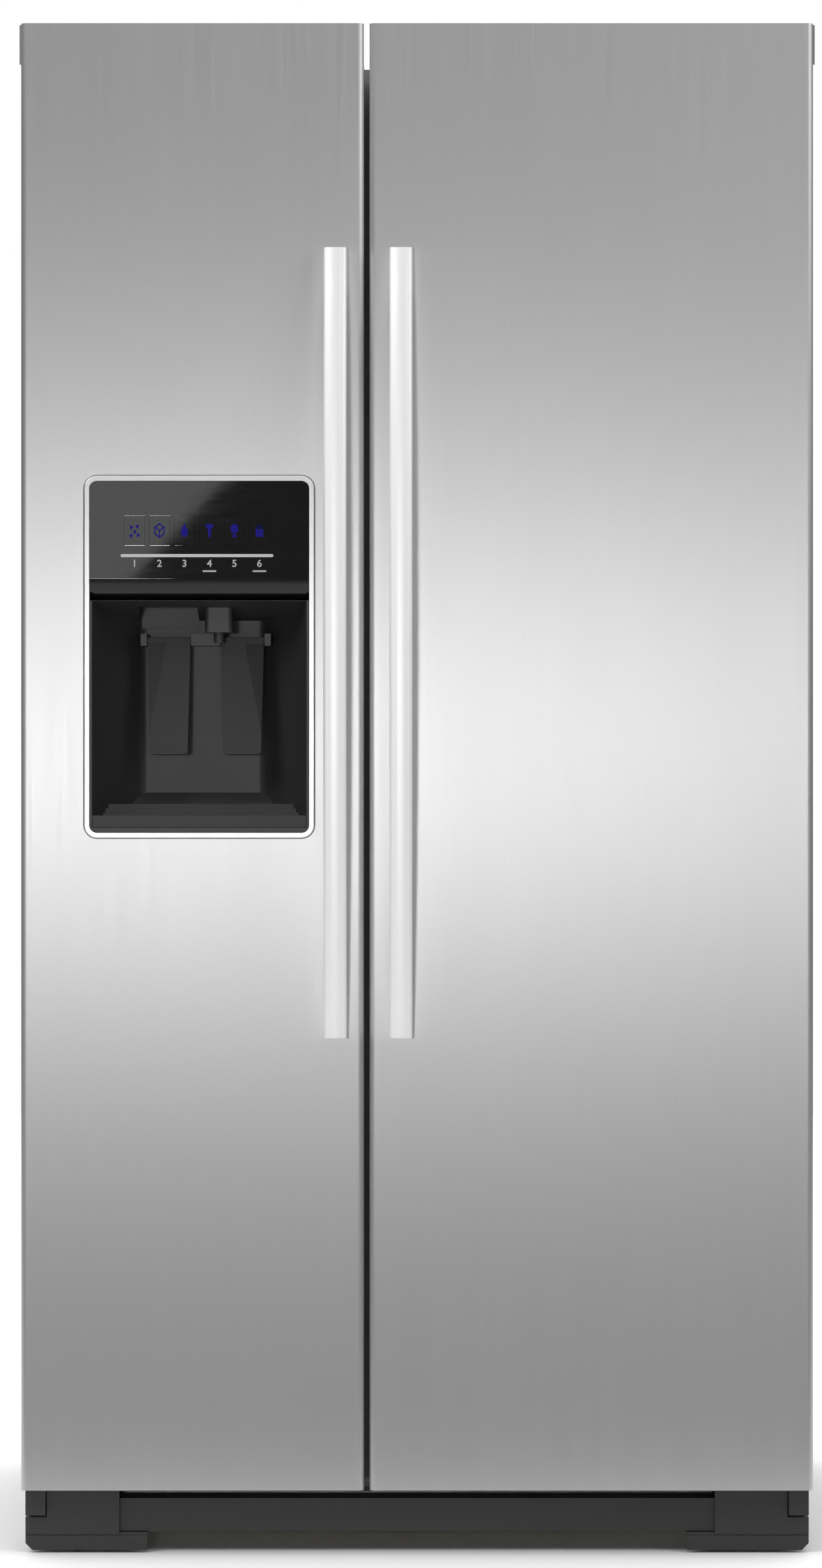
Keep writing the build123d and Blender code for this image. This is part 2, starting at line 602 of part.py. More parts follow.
def hinge_covers():
    """Plastic covers over the two top hinge plates."""
    x = (-HALF_CABINET + 3, FREEZER_DOOR.hinge_x + 68)
    outer = rounded(x, (CABINET_FRONT + 4, CABINET_FRONT + 92), (CABINET_TOP, CABINET_TOP + 22), 9.0, Axis.Z)
    outer = chamfer(outer.faces().sort_by(Axis.Z)[-1].edges(), 4.0)
    inside_z = (CABINET_TOP - 1, CABINET_TOP + 19)
    return both_sides([outer - block(grown(x, -2.5), (CABINET_FRONT + 3, CABINET_FRONT + 89.5), inside_z)])


# ---------------------------------------------------------------- doors
def door_outline(door, inset):
    """The door's plan section, with rounded front corners, inset from the skin's outside."""
    y = (DOOR_FRONT + inset, DOOR_BACK)
    body = block(grown(door.across(0, door.width), -inset), y, (BASE_HEIGHT, DOOR_TOP))
    front = body.edges().filter_by(Axis.Z).filter_by(lambda e: e.center().Y < y[0] + 1)
    return fillet(front, SKIN_CORNER - inset)


def above_body(door):
    """The space over the door's body, behind its front lip."""
    return block(door.past_edges(), (DOOR_FRONT + LIP_THICKNESS, DOOR_BACK + 1), (DOOR_BODY_TOP, DOOR_TOP + 1))


def stud_holes(door, radius):
    """The holes that a handle's studs take up in the door."""
    ends = (HANDLE_BOTTOM_Z + HANDLE_FOOT / 2, HANDLE_BOTTOM_Z + HANDLE_LENGTH - HANDLE_FOOT / 2)
    return [rod((door.handle_x, DOOR_FRONT - STUD_DEPTH, z), "Y", radius, 2 * STUD_DEPTH) for z in ends]


def door_skin(door):
    """Wrapped stainless sheet: front face and the two side returns."""
    skin = door_outline(door, 0) - door_outline(door, SHEET) - above_body(door)
    behind = (DOOR_BACK - SKIN_RETURN, DOOR_BACK + 1)
    skin -= block(door.past_edges(), behind, (BASE_HEIGHT - 1, DOOR_TOP + 1))
    for hole in stud_holes(door, STUD_RADIUS):
        skin -= hole
    return skin


def door_caps(door):
    """Moulded top and bottom caps; the top one carries the lip that hides the hinge."""
    core = door_outline(door, SHEET)
    inside = (DOOR_FRONT, DOOR_BACK)
    top = core & block(door.past_edges(), inside, (DOOR_BODY_TOP - CAP_HEIGHT, DOOR_TOP))
    top -= above_body(door)
    lip_back = DOOR_FRONT + LIP_THICKNESS
    top += block(door.across(-CAP_FLARE, 6), (lip_back, lip_back + FLARE_DEPTH), (DOOR_BODY_TOP, DOOR_TOP - 1))
    bottom = core & block(door.past_edges(), inside, (BASE_HEIGHT, BASE_HEIGHT + CAP_HEIGHT))
    radius = HINGE_PIN_RADIUS + RUNNING_CLEARANCE
    top -= rod((door.hinge_x, HINGE_Y, DOOR_BODY_TOP - HINGE_PIN_DEPTH - 1), "Z", radius, HINGE_PIN_DEPTH + 2)
    bottom -= rod((door.hinge_x, HINGE_Y, BASE_HEIGHT - 1), "Z", radius, HINGE_PIN_DEPTH + 2)
    return [top, bottom]


def door_core(door, y):
    """The space between the caps and inside the skin, over a span of depth."""
    z = (BASE_HEIGHT + CAP_HEIGHT, DOOR_BODY_TOP - CAP_HEIGHT)
    return door_outline(door, SHEET) & block(door.past_edges(), y, z)


def door_foam(door):
    body = door_core(door, (DOOR_FRONT, DOOR_BACK - LINER_WALL))
    for hole in stud_holes(door, STUD_RADIUS):
        body -= hole
    return body


def door_liner(door, extra_lugs=()):
    """Inner liner: back sheet, raised rim and the lugs that carry the bins."""
    body = door_core(door, (DOOR_BACK - LINER_WALL, DOOR_BACK))
    rim_z = (FLOOR_Z + DYKE_CLEARANCE, CEILING_Z - DYKE_CLEARANCE)
    rim_y = (DOOR_BACK, DOOR_BACK + DYKE_HEIGHT)
    rim = rounded(door.rim_x, rim_y, rim_z, 14.0, Axis.Y)
    rim -= rounded(door.bin_x, grown(rim_y, 1), grown(rim_z, -DYKE_WIDTH), 8.0, Axis.Y)
    body += chamfer(rim.faces().sort_by(Axis.Y)[-1].edges(), 3.0)
    low, high = door.bin_x
    for z in door.bin_heights + tuple(extra_lugs):
        for lug in ((low, low + LUG), (high - LUG, high)):
            body += block(lug, (DOOR_BACK, rim_y[1] - 4), (z - 12, z))
    return body


def door_gasket(door):
    """Magnetic gasket: a wide foot on the door and a narrower bulb against the cabinet."""
    outer_x = door.across(GASKET_HINGE_INSET, door.width - GASKET_FREE_INSET)
    outer_z = (BASE_HEIGHT + GASKET_END_INSET, DOOR_BODY_TOP - GASKET_END_INSET)
    foot_y, bulb_y = (DOOR_BACK, DOOR_BACK + 4), (DOOR_BACK + 4, CABINET_FRONT - TOUCH)
    ring = block(outer_x, foot_y, outer_z)
    ring -= block(grown(outer_x, -GASKET_WIDTH), grown(foot_y, 1), grown(outer_z, -GASKET_WIDTH))
    bulb = block(grown(outer_x, -3), bulb_y, grown(outer_z, -3))
    bulb -= block(grown(outer_x, 3 - GASKET_WIDTH), grown(bulb_y, 1), grown(outer_z, 3 - GASKET_WIDTH))
    return ring + bulb


def door_bins(door):
    """Clear bins that hang inside the liner's rim on its lugs."""
    y = (DOOR_BACK + 0.2, DOOR_BACK + door.bin_depth)
    x = grown(door.bin_x, -0.4)
    bins = []
    for z in door.bin_heights:
        body = tub(x, y, (z, z + BIN_HEIGHT), BIN_WALL, BIN_CORNER)
        body += block(grown(x, -BIN_CORNER), (y[1], y[1] + 3), (z + BIN_HEIGHT - 16, z + BIN_HEIGHT))
        bins.append(body)
    return bins


def handle(door):
    """Bowed bar whose ends turn in to the door, on two shoulder studs."""
    low, high = HANDLE_BOTTOM_Z, HANDLE_BOTTOM_Z + HANDLE_LENGTH
    middle, face = (low + high) / 2, DOOR_FRONT
    front = face - HANDLE_END_DEPTH
    outer = ThreePointArc((front, high), (face - HANDLE_STANDOFF, middle), (front, low))
    grip = face - HANDLE_STANDOFF + HANDLE_BAR
    inner = ThreePointArc((face, low + HANDLE_FOOT), (grip, middle), (face, high - HANDLE_FOOT))
    outline = Curve() + [
        outer,
        Line((front, low), (face, low)),
        Line((face, low), (face, low + HANDLE_FOOT)),
        inner,
        Line((face, high - HANDLE_FOOT), (face, high)),
        Line((face, high), (front, high)),
    ]
    bar = extrude(Plane.YZ.offset(door.handle_x - HANDLE_WIDTH / 2) * make_face(outline), amount=HANDLE_WIDTH)
    bowed = [e for e in bar.edges().filter_by(GeomType.CIRCLE) if e.bounding_box().min.Y < grip - 5]
    bar = fillet(bowed, HANDLE_EDGE)
    studs = stud_holes(door, STUD_RADIUS)
    for stud in studs:
        bar -= stud
    return [bar, *studs]


# ---------------------------------------------------------------- dispenser
def dispenser_cut(inset, y):
    """The rounded rectangular opening of the dispenser over a span of depth."""
    return rounded(grown(DISPENSER_X, -inset), y, grown(DISPENSER_Z, -inset), DISPENSER_CORNER - inset, Axis.Y)


def recess(grow):
    """The glass recess: hollow side walls that run into a flat back, a falling ceiling, a sloped foot."""
    front, back = DOOR_FRONT - 1, RECESS_BACK + grow
    half_front, half_back = DISPENSER_WIDTH / 2 - HOUSING_WALL + grow, RECESS_BACK_WIDTH / 2 + grow
    middle = ((half_front + half_back) / 2 + RECESS_BOW, (front + back + RECESS_BOW) / 2)
    half = make_face(Curve() + [
        Line((0, front), (half_front, front)),
        ThreePointArc((half_front, front), middle, (half_back, back)),
        Line((half_back, back), (0, back)),
        Line((0, back), (0, front)),
    ])
    half = fillet(half.vertices().group_by(Axis.Y)[-1].sort_by(Axis.X)[-1], RECESS_CORNER)
    plan = Pos(DISPENSER_CENTRE, 0, RECESS_Z[0] - grow) * (half + mirror(half, about=Plane.YZ))
    upright = extrude(plan, amount=RECESS_Z[1] - RECESS_Z[0] + 2 * grow, dir=(0, 0, 1))
    profile = side_profile(grown(DISPENSER_X, 5), [
        (front, RECESS_Z[0] - grow),
        (DOOR_FRONT + RAMP_FRONT, RECESS_Z[0] - grow),
        (back, RECESS_Z[0] + RAMP_HEIGHT - grow),
        (back, RECESS_Z[1] - RECESS_DRAFT + grow),
        (front, RECESS_Z[1] + grow),
    ])
    return upright & profile & dispenser_cut(HOUSING_WALL - grow, (front, back))


def chute_plane():
    """Plane across the chute's outlet, its normal running up the duct."""
    lean = radians(CHUTE_LEAN)
    return Plane(origin=(CHUTE_X, *CHUTE_OUTLET), x_dir=(1, 0, 0), z_dir=(0, sin(lean), cos(lean)))


def chute_rod(radius, start, length):
    """A cylinder along the chute's axis, measured from its outlet."""
    return extrude(chute_plane().offset(start) * Circle(radius), amount=length)


def flap_pocket(grow):
    """The space under the chute's outlet in which its flap swings."""
    x = (CHUTE_X - POCKET_HALF_WIDTH - grow, CHUTE_X + POCKET_HALF_WIDTH + grow)
    y = (CHUTE_OUTLET[0] + POCKET_REACH[0] - grow, CHUTE_OUTLET[0] + POCKET_REACH[1] + grow)
    return block(x, y, (PANEL_BOTTOM_Z - 30, CHUTE_OUTLET[1] + POCKET_HEIGHT + grow))


def recess_solid():
    """Everything that the housing takes up behind the door's front sheet."""
    solid = dispenser_cut(0, (DOOR_FRONT - 1, DOOR_FRONT + DISPENSER_RIM_DEPTH))
    return solid + recess(HOUSING_WALL) + flap_pocket(HOUSING_WALL)


def bulge(inset):
    """Liner material standing into the freezer behind the dispenser."""
    lean = tan(radians(CHUTE_LEAN))
    back = CHUTE_INLET[0] + CHUTE_RADIUS + 10 - inset
    low = DISPENSER_BOTTOM_Z - 16 + inset
    slope_top = CHUTE_INLET[1] + (CHUTE_INLET[0] - DOOR_BACK) * lean - inset
    slope_low = CHUTE_INLET[1] - (back - CHUTE_INLET[0]) * lean - inset
    waist = RECESS_BACK + 16 - inset
    return side_profile(grown(DISPENSER_X, 6 - inset), [
        (DOOR_BACK - LINER_WALL, low),
        (waist, low + 14),
        (waist, PANEL_BOTTOM_Z - 40),
        (back, PANEL_BOTTOM_Z + 6),
        (back, slope_low),
        (DOOR_BACK, slope_top),
        (DOOR_BACK - LINER_WALL, slope_top),
    ])


def duct_space():
    return chute_rod(CHUTE_RADIUS + CHUTE_WALL, -2, CHUTE_LENGTH + 20)


def freezer_door_skin():
    return door_skin(FREEZER_DOOR) - dispenser_cut(0, (DOOR_FRONT - 1, DOOR_BACK))


def duct_casing():
    """Upright space in the door's foam that the sloped duct passes through."""
    reach = CHUTE_RADIUS + CHUTE_WALL
    y = (CHUTE_OUTLET[0] - reach, CHUTE_INLET[0] + reach + 10)
    top = CHUTE_INLET[1] + (CHUTE_INLET[0] - DOOR_BACK) * tan(radians(CHUTE_LEAN))
    return block(grown((CHUTE_X, CHUTE_X), reach), y, (CHUTE_OUTLET[1], top))


def freezer_door_foam():
    return door_foam(FREEZER_DOOR) + bulge(LINER_WALL) - recess_solid() - duct_space() - duct_casing()


def freezer_door_liner():
    body = door_liner(FREEZER_DOOR) + bulge(0)
    return body - bulge(LINER_WALL) - recess_solid() - duct_space()


def dispenser_bezel():
    """Bright frame around the dispenser, on the face of the door."""
    x, z = grown(DISPENSER_X, BEZEL_WIDTH), grown(DISPENSER_Z, BEZEL_WIDTH)
    y = (DOOR_FRONT - BEZEL_PROUD, DOOR_FRONT)
    ring = rounded(x, y, z, DISPENSER_CORNER + BEZEL_WIDTH, Axis.Y)
    ring = chamfer(ring.faces().sort_by(Axis.Y)[0].edges(), 1.0)
    return ring - dispenser_cut(0, grown(y, 1))


def paddle_spans():
    """Limits along X of the two paddles."""
    for side in (-1, 1):
        centre = PADDLE_CENTRE + side * PADDLE_SPACING / 2
        yield centre - PADDLE_WIDTH / 2, centre + PADDLE_WIDTH / 2


def paddle_bearings():
    """Blocks on the recess's back wall that hold the paddles' pivots."""
    left, right = paddle_spans()
    y, z = (PADDLE_PIVOT[0] - 6, RECESS_BACK + 1), (PADDLE_PIVOT[1] - 6, PADDLE_PIVOT[1] + 8)
    spans = [
        (left[0] - 2 * PADDLE_PIN_REACH, left[0] - 0.6),
        (left[1] + 0.6, right[0] - 0.6),
        (right[1] + 0.6, right[1] + 2 * PADDLE_PIN_REACH),
    ]
    return [block(span, y, z) for span in spans]


def dispenser_housing():
    """Black moulding that lines the recess and closes the space behind the panel."""
    body = recess_solid() - block(grown(DISPENSER_X, 5), (DOOR_FRONT - 2, DOOR_FRONT), grown(DISPENSER_Z, 5))
    panel_back = PANEL_FRONT + PANEL_THICKNESS
    body -= block(grown(DISPENSER_X, 1), (DOOR_FRONT - 1, panel_back), (PANEL_BOTTOM_Z, DISPENSER_Z[1] + 1))
    body -= recess(0)
    chamber_z = (PANEL_BOTTOM_Z + PANEL_ROLL + HOUSING_WALL, DISPENSER_Z[1] - HOUSING_WALL)
    behind = (DOOR_FRONT - 1, DOOR_FRONT + PANEL_CHAMBER)
    body -= block(grown(DISPENSER_X, -HOUSING_WALL), behind, chamber_z)
    roll_z = (PANEL_BOTTOM_Z - 1, PANEL_BOTTOM_Z + PANEL_ROLL + HOUSING_WALL + 1)
    body -= block(grown(DISPENSER_X, -0.5), (DOOR_FRONT - 1, PANEL_FRONT + PANEL_ROLL), roll_z)
    body -= flap_pocket(0)
    body -= duct_space()
    for bearing in paddle_bearings():
        body += bearing & recess(HOUSING_WALL / 2)
    left, right = paddle_spans()
    start = left[0] - PADDLE_PIN_REACH - 1
    length = right[1] + PADDLE_PIN_REACH + 1 - start
    body -= rod((start, *PADDLE_PIVOT), "X", PADDLE_PIN_RADIUS + RUNNING_CLEARANCE, length)
    reach = POCKET_HALF_WIDTH + 2
    return body - rod((CHUTE_X - reach, *FLAP_PIVOT), "X", FLAP_PIN_RADIUS + RUNNING_CLEARANCE, 2 * reach)


def paddle(span, side):
    """Lever that a glass pushes back: a plate with a pivot pin across its top, creased from there
    to its outer edge."""
    half_top, half_low = PADDLE_WIDTH / 2, PADDLE_WIDTH / 2 - 3
    low = PADDLE_PIN_DROP - PADDLE_HEIGHT
    outline = Polygon((-half_top, 4), (-half_low, low), (half_low, low), (half_top, 4), align=None)
    outline = fillet(outline.vertices().sort_by(Axis.Y)[:2], 4.0)
    plate = extrude(Plane.XZ * outline, amount=PADDLE_THICKNESS)
    crease = Vector(side, -PADDLE_THICKNESS, 4), Vector(side * half_low, -PADDLE_THICKNESS, 0.8 * low)
    corner = Vector(side * half_top, PADDLE_FACET - PADDLE_THICKNESS, 4)
    normal = (crease[1] - crease[0]).cross(corner - crease[0]) * side
    plate = split(plate, bisect_by=Plane(origin=crease[0], z_dir=normal), keep=Keep.BOTTOM)
    plate += block((-half_low + 4, half_low - 4), (-PADDLE_THICKNESS - 4, 0), (low, low + 3))
    plate += block((-half_top, half_top), (-3.5, 3.5), (-3.5, 3.5))
    plate += rod((-half_top - PADDLE_PIN_REACH, 0, 0), "X", PADDLE_PIN_RADIUS, PADDLE_WIDTH + 2 * PADDLE_PIN_REACH)
    return Pos(sum(span) / 2, *PADDLE_PIVOT) * Rot(-PADDLE_TILT, 0, 0) * plate


def key_centres():
    first = DISPENSER_CENTRE + KEY_SHIFT - KEY_PITCH * (KEY_COUNT - 1) / 2
    return [first + i * KEY_PITCH for i in range(KEY_COUNT)]


def key_prism(x, grow, y):
    across = grown((x - KEY_WIDTH / 2, x + KEY_WIDTH / 2), grow)
    return block(across, y, grown((KEY_Z - KEY_HEIGHT / 2, KEY_Z + KEY_HEIGHT / 2), grow))


def dispenser_panel():
    """Gloss control panel, its lower edge rolled back into the recess."""
    low, high = PANEL_BOTTOM_Z, DISPENSER_Z[1] - 0.5
    front, back = PANEL_FRONT, PANEL_FRONT + PANEL_THICKNESS
    bend = (front + PANEL_ROLL, low + PANEL_ROLL)
    section = Curve() + [
        Line((front, high), (front, bend[1])),
        CenterArc(bend, PANEL_ROLL, 180, 90),
        Line((bend[0], low), (bend[0], low + PANEL_THICKNESS)),
        CenterArc(bend, PANEL_ROLL - PANEL_THICKNESS, 270, -90),
        Line((back, bend[1]), (back, high)),
        Line((back, high), (front, high)),
    ]
    body = extrude(Plane.YZ.offset(DISPENSER_X[0] + 0.5) * make_face(section), amount=DISPENSER_WIDTH - 1)
    body &= dispenser_cut(0.5, (front - 1, DOOR_BACK))
    for x in key_centres():
        body -= key_prism(x, KEY_CLEARANCE, (front - 1, back + 1))
    return body


def dispenser_key(x):
    """One key, flush in the panel, on a wider flange behind it."""
    behind = PANEL_FRONT + PANEL_THICKNESS + TOUCH
    cap = key_prism(x, 0, (PANEL_FRONT, behind))
    return cap + key_prism(x, KEY_FLANGE, (behind, PANEL_FRONT + KEY_DEPTH))


def dispenser_outlets():
    """Ice duct from the liner's inlet down to the recess, and the water spout beside its outlet."""
    duct = chute_rod(CHUTE_RADIUS + CHUTE_WALL, 0, CHUTE_LENGTH) - chute_rod(CHUTE_RADIUS, -1, CHUTE_LENGTH + 2)
    x = DISPENSER_CENTRE + SPOUT_OFFSET
    y = DOOR_FRONT + 46
    ceiling = RECESS_Z[1] - RECESS_DRAFT * 46 / RECESS_DEPTH
    spout_x = (x - SPOUT_WIDTH / 2, x + SPOUT_WIDTH / 2)
    spout = rounded(spout_x, (y - 14, y + 10), (ceiling - 26, RECESS_Z[1]), 5.0, Axis.Z) & recess(-0.2)
    nozzle = rod((x, y - 2, ceiling - 38), "Z", 6.0, 14.0) - rod((x, y - 2, ceiling - 39), "Z", 3.5, 10.0)
    return [duct, spout + nozzle]


def chute_flap():
    """Insulated flap over the chute's outlet, on a pin before its front edge."""
    plane = chute_plane()
    disc = extrude(plane.offset(-TOUCH - FLAP_THICKNESS) * Circle(CHUTE_RADIUS + 2), amount=FLAP_THICKNESS)
    half = 16.0
    tab = plane.offset(-TOUCH - FLAP_THICKNESS) * Pos(0, -FLAP_ARM / 2 - 5) * Rectangle(2 * half, FLAP_ARM - 10)
    barrel = rod((CHUTE_X - half, *FLAP_PIVOT), "X", FLAP_PIN_RADIUS + 1.5, 2 * half)
    reach = POCKET_HALF_WIDTH + 1.5
    pin = rod((CHUTE_X - reach, *FLAP_PIVOT), "X", FLAP_PIN_RADIUS, 2 * reach)
    return disc + extrude(tab, amount=FLAP_THICKNESS) + barrel + pin


def drip_tray():
    """Tray at the foot of the recess: front lip, slotted grid, and rear bars that rise in steps."""
    z = (RECESS_Z[0], RECESS_Z[0] + TRAY_LIP)
    back = DOOR_FRONT + TRAY_DEPTH - 4
    body = block(DISPENSER_X, (DOOR_FRONT + 0.5, DOOR_FRONT + 3.5), z)
    body += block(DISPENSER_X, (DOOR_FRONT + 2, back), (z[1] - 5, z[1] - 2))
    body += block(DISPENSER_X, (back - TRAY_BAR, back), (z[0], z[1] - 2))
    for i in range(TRAY_RISERS):
        y = back - (TRAY_RISERS - i) * TRAY_BAR_PITCH
        body += block(DISPENSER_X, (y, back), (z[1] - 5, z[1] - 2 + (i + 1) * TRAY_RISE))
    body &= recess(-0.4)
    slots_x = grown((DISPENSER_CENTRE, DISPENSER_CENTRE), RECESS_BACK_WIDTH / 2 + 14)
    slots = int((TRAY_DEPTH - 4 - TRAY_RISERS * TRAY_BAR_PITCH - 9) / TRAY_BAR_PITCH)
    for i in range(slots):
        y = DOOR_FRONT + 9 + i * TRAY_BAR_PITCH
        body -= block(slots_x, (y, y + TRAY_BAR_PITCH - TRAY_BAR), (z[1] - 6, z[1] - 1))
    return body


# ---------------------------------------------------------------- freezer interior
def shelf_outline(x, y, top):
    """Limits of a framed glass shelf whose upper face is at the given height."""
    return grown(x, -SHELF_CLEARANCE), y, (top - SHELF_RIM, top)


def shelves():
    """Every framed glass shelf: freezer shelves, fridge shelves and drawer covers."""
    for top in FREEZER_SHELF_Z + (ICE_SHELF_Z,):
        back = DUCT_FRONT - 6 if top < DUCT_TOP_Z else LINER_BACK - 4
        yield shelf_outline(FREEZER_X, (SHELF_FRONT, back), top)
    for top in FRIDGE_SHELF_Z:
        yield shelf_outline(FRIDGE_X, (SHELF_FRONT, LINER_BACK - TRACK_DEPTH - 1), top)
    for _, top in drawer_spans():
        back = HUMP_FRONT - 1 if top < HUMP_TOP else LINER_BACK - 4
        yield shelf_outline(FRIDGE_X, (SHELF_FRONT, back), top + COVER_GAP + SHELF_RIM)


def shelf_glass():
    panes = []
    for x, y, z in shelves():
        panes.append(block(grown(x, -SHELF_RIM / 2), grown(y, -SHELF_RIM / 2), (z[1] - SHELF_GLASS, z[1])))
    return panes


def shelf_frames():
    """Moulded rims around the panes, and the arms of the shelves that hang on the tracks."""
    frames = []
    for x, y, z in shelves():
        frame = block(x, y, z) - block(grown(x, -SHELF_RIM), grown(y, -SHELF_RIM), grown(z, 1))
        frame -= block(grown(x, -SHELF_RIM / 2), grown(y, -SHELF_RIM / 2), (z[1] - SHELF_GLASS, z[1] + 1))
        frames.append(fillet(frame.faces().sort_by(Axis.Y)[0].edges().filter_by(Axis.X), 3.0))
    return frames


def shelf_tracks():
    """Slotted steel tracks on the fridge's back wall and the shelf arms hooked into them."""
    solids = []
    for x in grown(FRIDGE_X, -TRACK_INSET):
        span = (x - TRACK_WIDTH / 2, x + TRACK_WIDTH / 2)
        track = block(span, (LINER_BACK - TRACK_DEPTH, LINER_BACK), TRACK_SPAN)
        pitch = (TRACK_SPAN[1] - TRACK_SPAN[0]) / 18
        for i in range(18):
            z = TRACK_SPAN[0] + (i + 0.3) * pitch
            track -= block((x - 2.5, x + 2.5), (LINER_BACK - TRACK_DEPTH - 1, LINER_BACK - 2), (z, z + 12))
        solids.append(track)
        for top in FRIDGE_SHELF_Z:
            root, under = LINER_BACK - TRACK_DEPTH, top - SHELF_RIM
            points = [(root, under), (root, under - ARM_HEIGHT), (root - ARM_LENGTH, under - 8),
                      (root - ARM_LENGTH, under)]
            solids.append(side_profile((x - 1.5, x + 1.5), points))
    return solids


def pull_front(x, y, top):
    """The cut in a drawer's front wall that leaves a finger gap under its cover."""
    middle = sum(x) / 2
    return block((middle - PULL_WIDTH / 2, middle + PULL_WIDTH / 2), (y - 1, y + 12), (top - PULL_GAP, top + 1))


def drawer(x, y, z):
    """An open drawer with a thicker front and a cut-down pull."""
    body = tub(x, y, z, TUB_WALL, TUB_CORNER)
    body += block(grown(x, -TUB_CORNER), (y[0] - 4, y[0] + TUB_WALL), (z[0] + 10, z[1]))
    return body - pull_front(x, y[0] - 4, z[1])


def crisper_drawers():
    x = grown(FRIDGE_X, -LEDGE - 2)
    drawers = []
    for low, high in drawer_spans():
        back = (HUMP_FRONT if low < HUMP_TOP else LINER_BACK) - LINER_CORNER - 2
        drawers.append(drawer(x, (SHELF_FRONT + 6, back), (low, high)))
    return drawers


def freezer_bins():
    """Ice bin with its outlet at the lower front, and two deep baskets."""
    x = grown(FREEZER_X, -LEDGE / 2)
    y = (SHELF_FRONT - ICE_BIN_OVERHANG, LINER_BACK - 110)
    z = (ICE_SHELF_Z, ICE_SHELF_Z + ICE_BIN_HEIGHT)
    ice_bin = tub(x, y, z, BIN_WALL, BIN_CORNER)
    outlet = (CHUTE_X - CHUTE_RADIUS, CHUTE_X + CHUTE_RADIUS)
    ice_bin -= block(outlet, (y[0] - 1, SHELF_FRONT - 4), (z[0] - 1, z[0] + 30))
    shaft = (CHUTE_X, y[0] - 1, z[0] + AUGER_Z)
    ice_bin -= rod(shaft, "Y", AUGER_SHAFT + RUNNING_CLEARANCE, BIN_WALL + 2)
    ice_bin -= rod((CHUTE_X, y[1] - BIN_WALL - 1, shaft[2]), "Y", AUGER_SHAFT + RUNNING_CLEARANCE, BIN_WALL + 2)
    low_back, high_back = HUMP_FRONT - LINER_CORNER - 2, DUCT_FRONT - 8
    lower = drawer(x, (SHELF_FRONT + 6, low_back), (FLOOR_Z, FLOOR_Z + BASKET_HEIGHT + 25))
    upper_z = HUMP_TOP + 2 * LEDGE
    rails = []
    for wall in ((FREEZER_X[0], x[0] + 20), (x[1] - 20, FREEZER_X[1])):
        rails.append(block(wall, (HUMP_FRONT + 20, high_back), (HUMP_TOP, upper_z)))
    upper = drawer(x, (SHELF_FRONT + 6, high_back), (upper_z, upper_z + BASKET_HEIGHT))
    return [ice_bin, lower, upper, *rails]


def ice_auger():
    """Auger of the ice bin: a shaft with pitched blades."""
    y = (SHELF_FRONT - ICE_BIN_OVERHANG, LINER_BACK - 110)
    z = ICE_SHELF_Z + AUGER_Z
    shaft = rod((CHUTE_X, y[0] - 3, z), "Y", AUGER_SHAFT, y[1] - y[0] + 6)
    count = 9
    for i in range(count):
        place = Pos(CHUTE_X, y[0] + 26 + i * (y[1] - y[0] - 52) / (count - 1), z)
        blade = Box(2 * AUGER_RADIUS, 3, 14)
        shaft += place * Rot(0, i * 360 / count, 0) * Rot(AUGER_PITCH, 0, 0) * blade
    return shaft


def ice_maker():
    """Mould with its cells, front gear housing and the bracket to the freezer's left wall."""
    half = MOULD_RADIUS + MOULD_WALL
    tray_x = (MOULD_X - half, MOULD_X + half)
    mould = block(tray_x, MOULD_Y, (ICE_MAKER_Z - half, ICE_MAKER_Z + 2))
    mould = chamfer(mould.edges().filter_by(Axis.Y).sort_by(Axis.Z)[:2], 12.0)
    hollow = rod((MOULD_X, MOULD_Y[0] + MOULD_WALL, ICE_MAKER_Z), "Y", MOULD_RADIUS,
                 MOULD_Y[1] - MOULD_Y[0] - 3 * MOULD_WALL)
    hollow += block((MOULD_X - MOULD_RADIUS, MOULD_X + MOULD_RADIUS),
                    (MOULD_Y[0] + MOULD_WALL, MOULD_Y[1] - 2 * MOULD_WALL), (ICE_MAKER_Z, ICE_MAKER_Z + 3))
    pitch = (MOULD_Y[1] - MOULD_Y[0] - 3 * MOULD_WALL) / CELLS
    for i in range(1, CELLS):
        y = MOULD_Y[0] + MOULD_WALL + i * pitch
        hollow -= block(tray_x, (y - 1.2, y + 1.2), (ICE_MAKER_Z - half, ICE_MAKER_Z - EJECTOR_RADIUS - 2))
    mould -= hollow
    housing = rounded(grown(tray_x, 4), (MOULD_Y[0] - 46, MOULD_Y[0]),
                      (ICE_MAKER_Z - half - 8, ICE_MAKER_Z + 48), 8.0, Axis.Y)
    rear = rounded(tray_x, (MOULD_Y[1] - 2 * MOULD_WALL, MOULD_Y[1]),
                   (ICE_MAKER_Z - half, ICE_MAKER_Z + 20), 4.0, Axis.Y)
    body = mould + housing + rear
    body += block((FREEZER_X[0], tray_x[0] + 2), (MOULD_Y[0] + 20, MOULD_Y[1]), (ICE_MAKER_Z - 24, ICE_MAKER_Z + 2))
    bore = (MOULD_X, MOULD_Y[0] - 12, ICE_MAKER_Z)
    return body - rod(bore, "Y", EJECTOR_RADIUS + RUNNING_CLEARANCE, MOULD_Y[1] - bore[1] + 1)


def ice_ejector():
    """Ejector shaft with one finger over each cell."""
    start = MOULD_Y[0] - 10
    shaft = rod((MOULD_X, start, ICE_MAKER_Z), "Y", EJECTOR_RADIUS, MOULD_Y[1] - start - 2)
    pitch = (MOULD_Y[1] - MOULD_Y[0] - 3 * MOULD_WALL) / CELLS
    for i in range(CELLS):
        y = MOULD_Y[0] + MOULD_WALL + (i + 0.5) * pitch
        shaft += block((MOULD_X - MOULD_RADIUS + 3, MOULD_X), (y - 5, y + 5),
                       (ICE_MAKER_Z, ICE_MAKER_Z + EJECTOR_RADIUS))
    return shaft


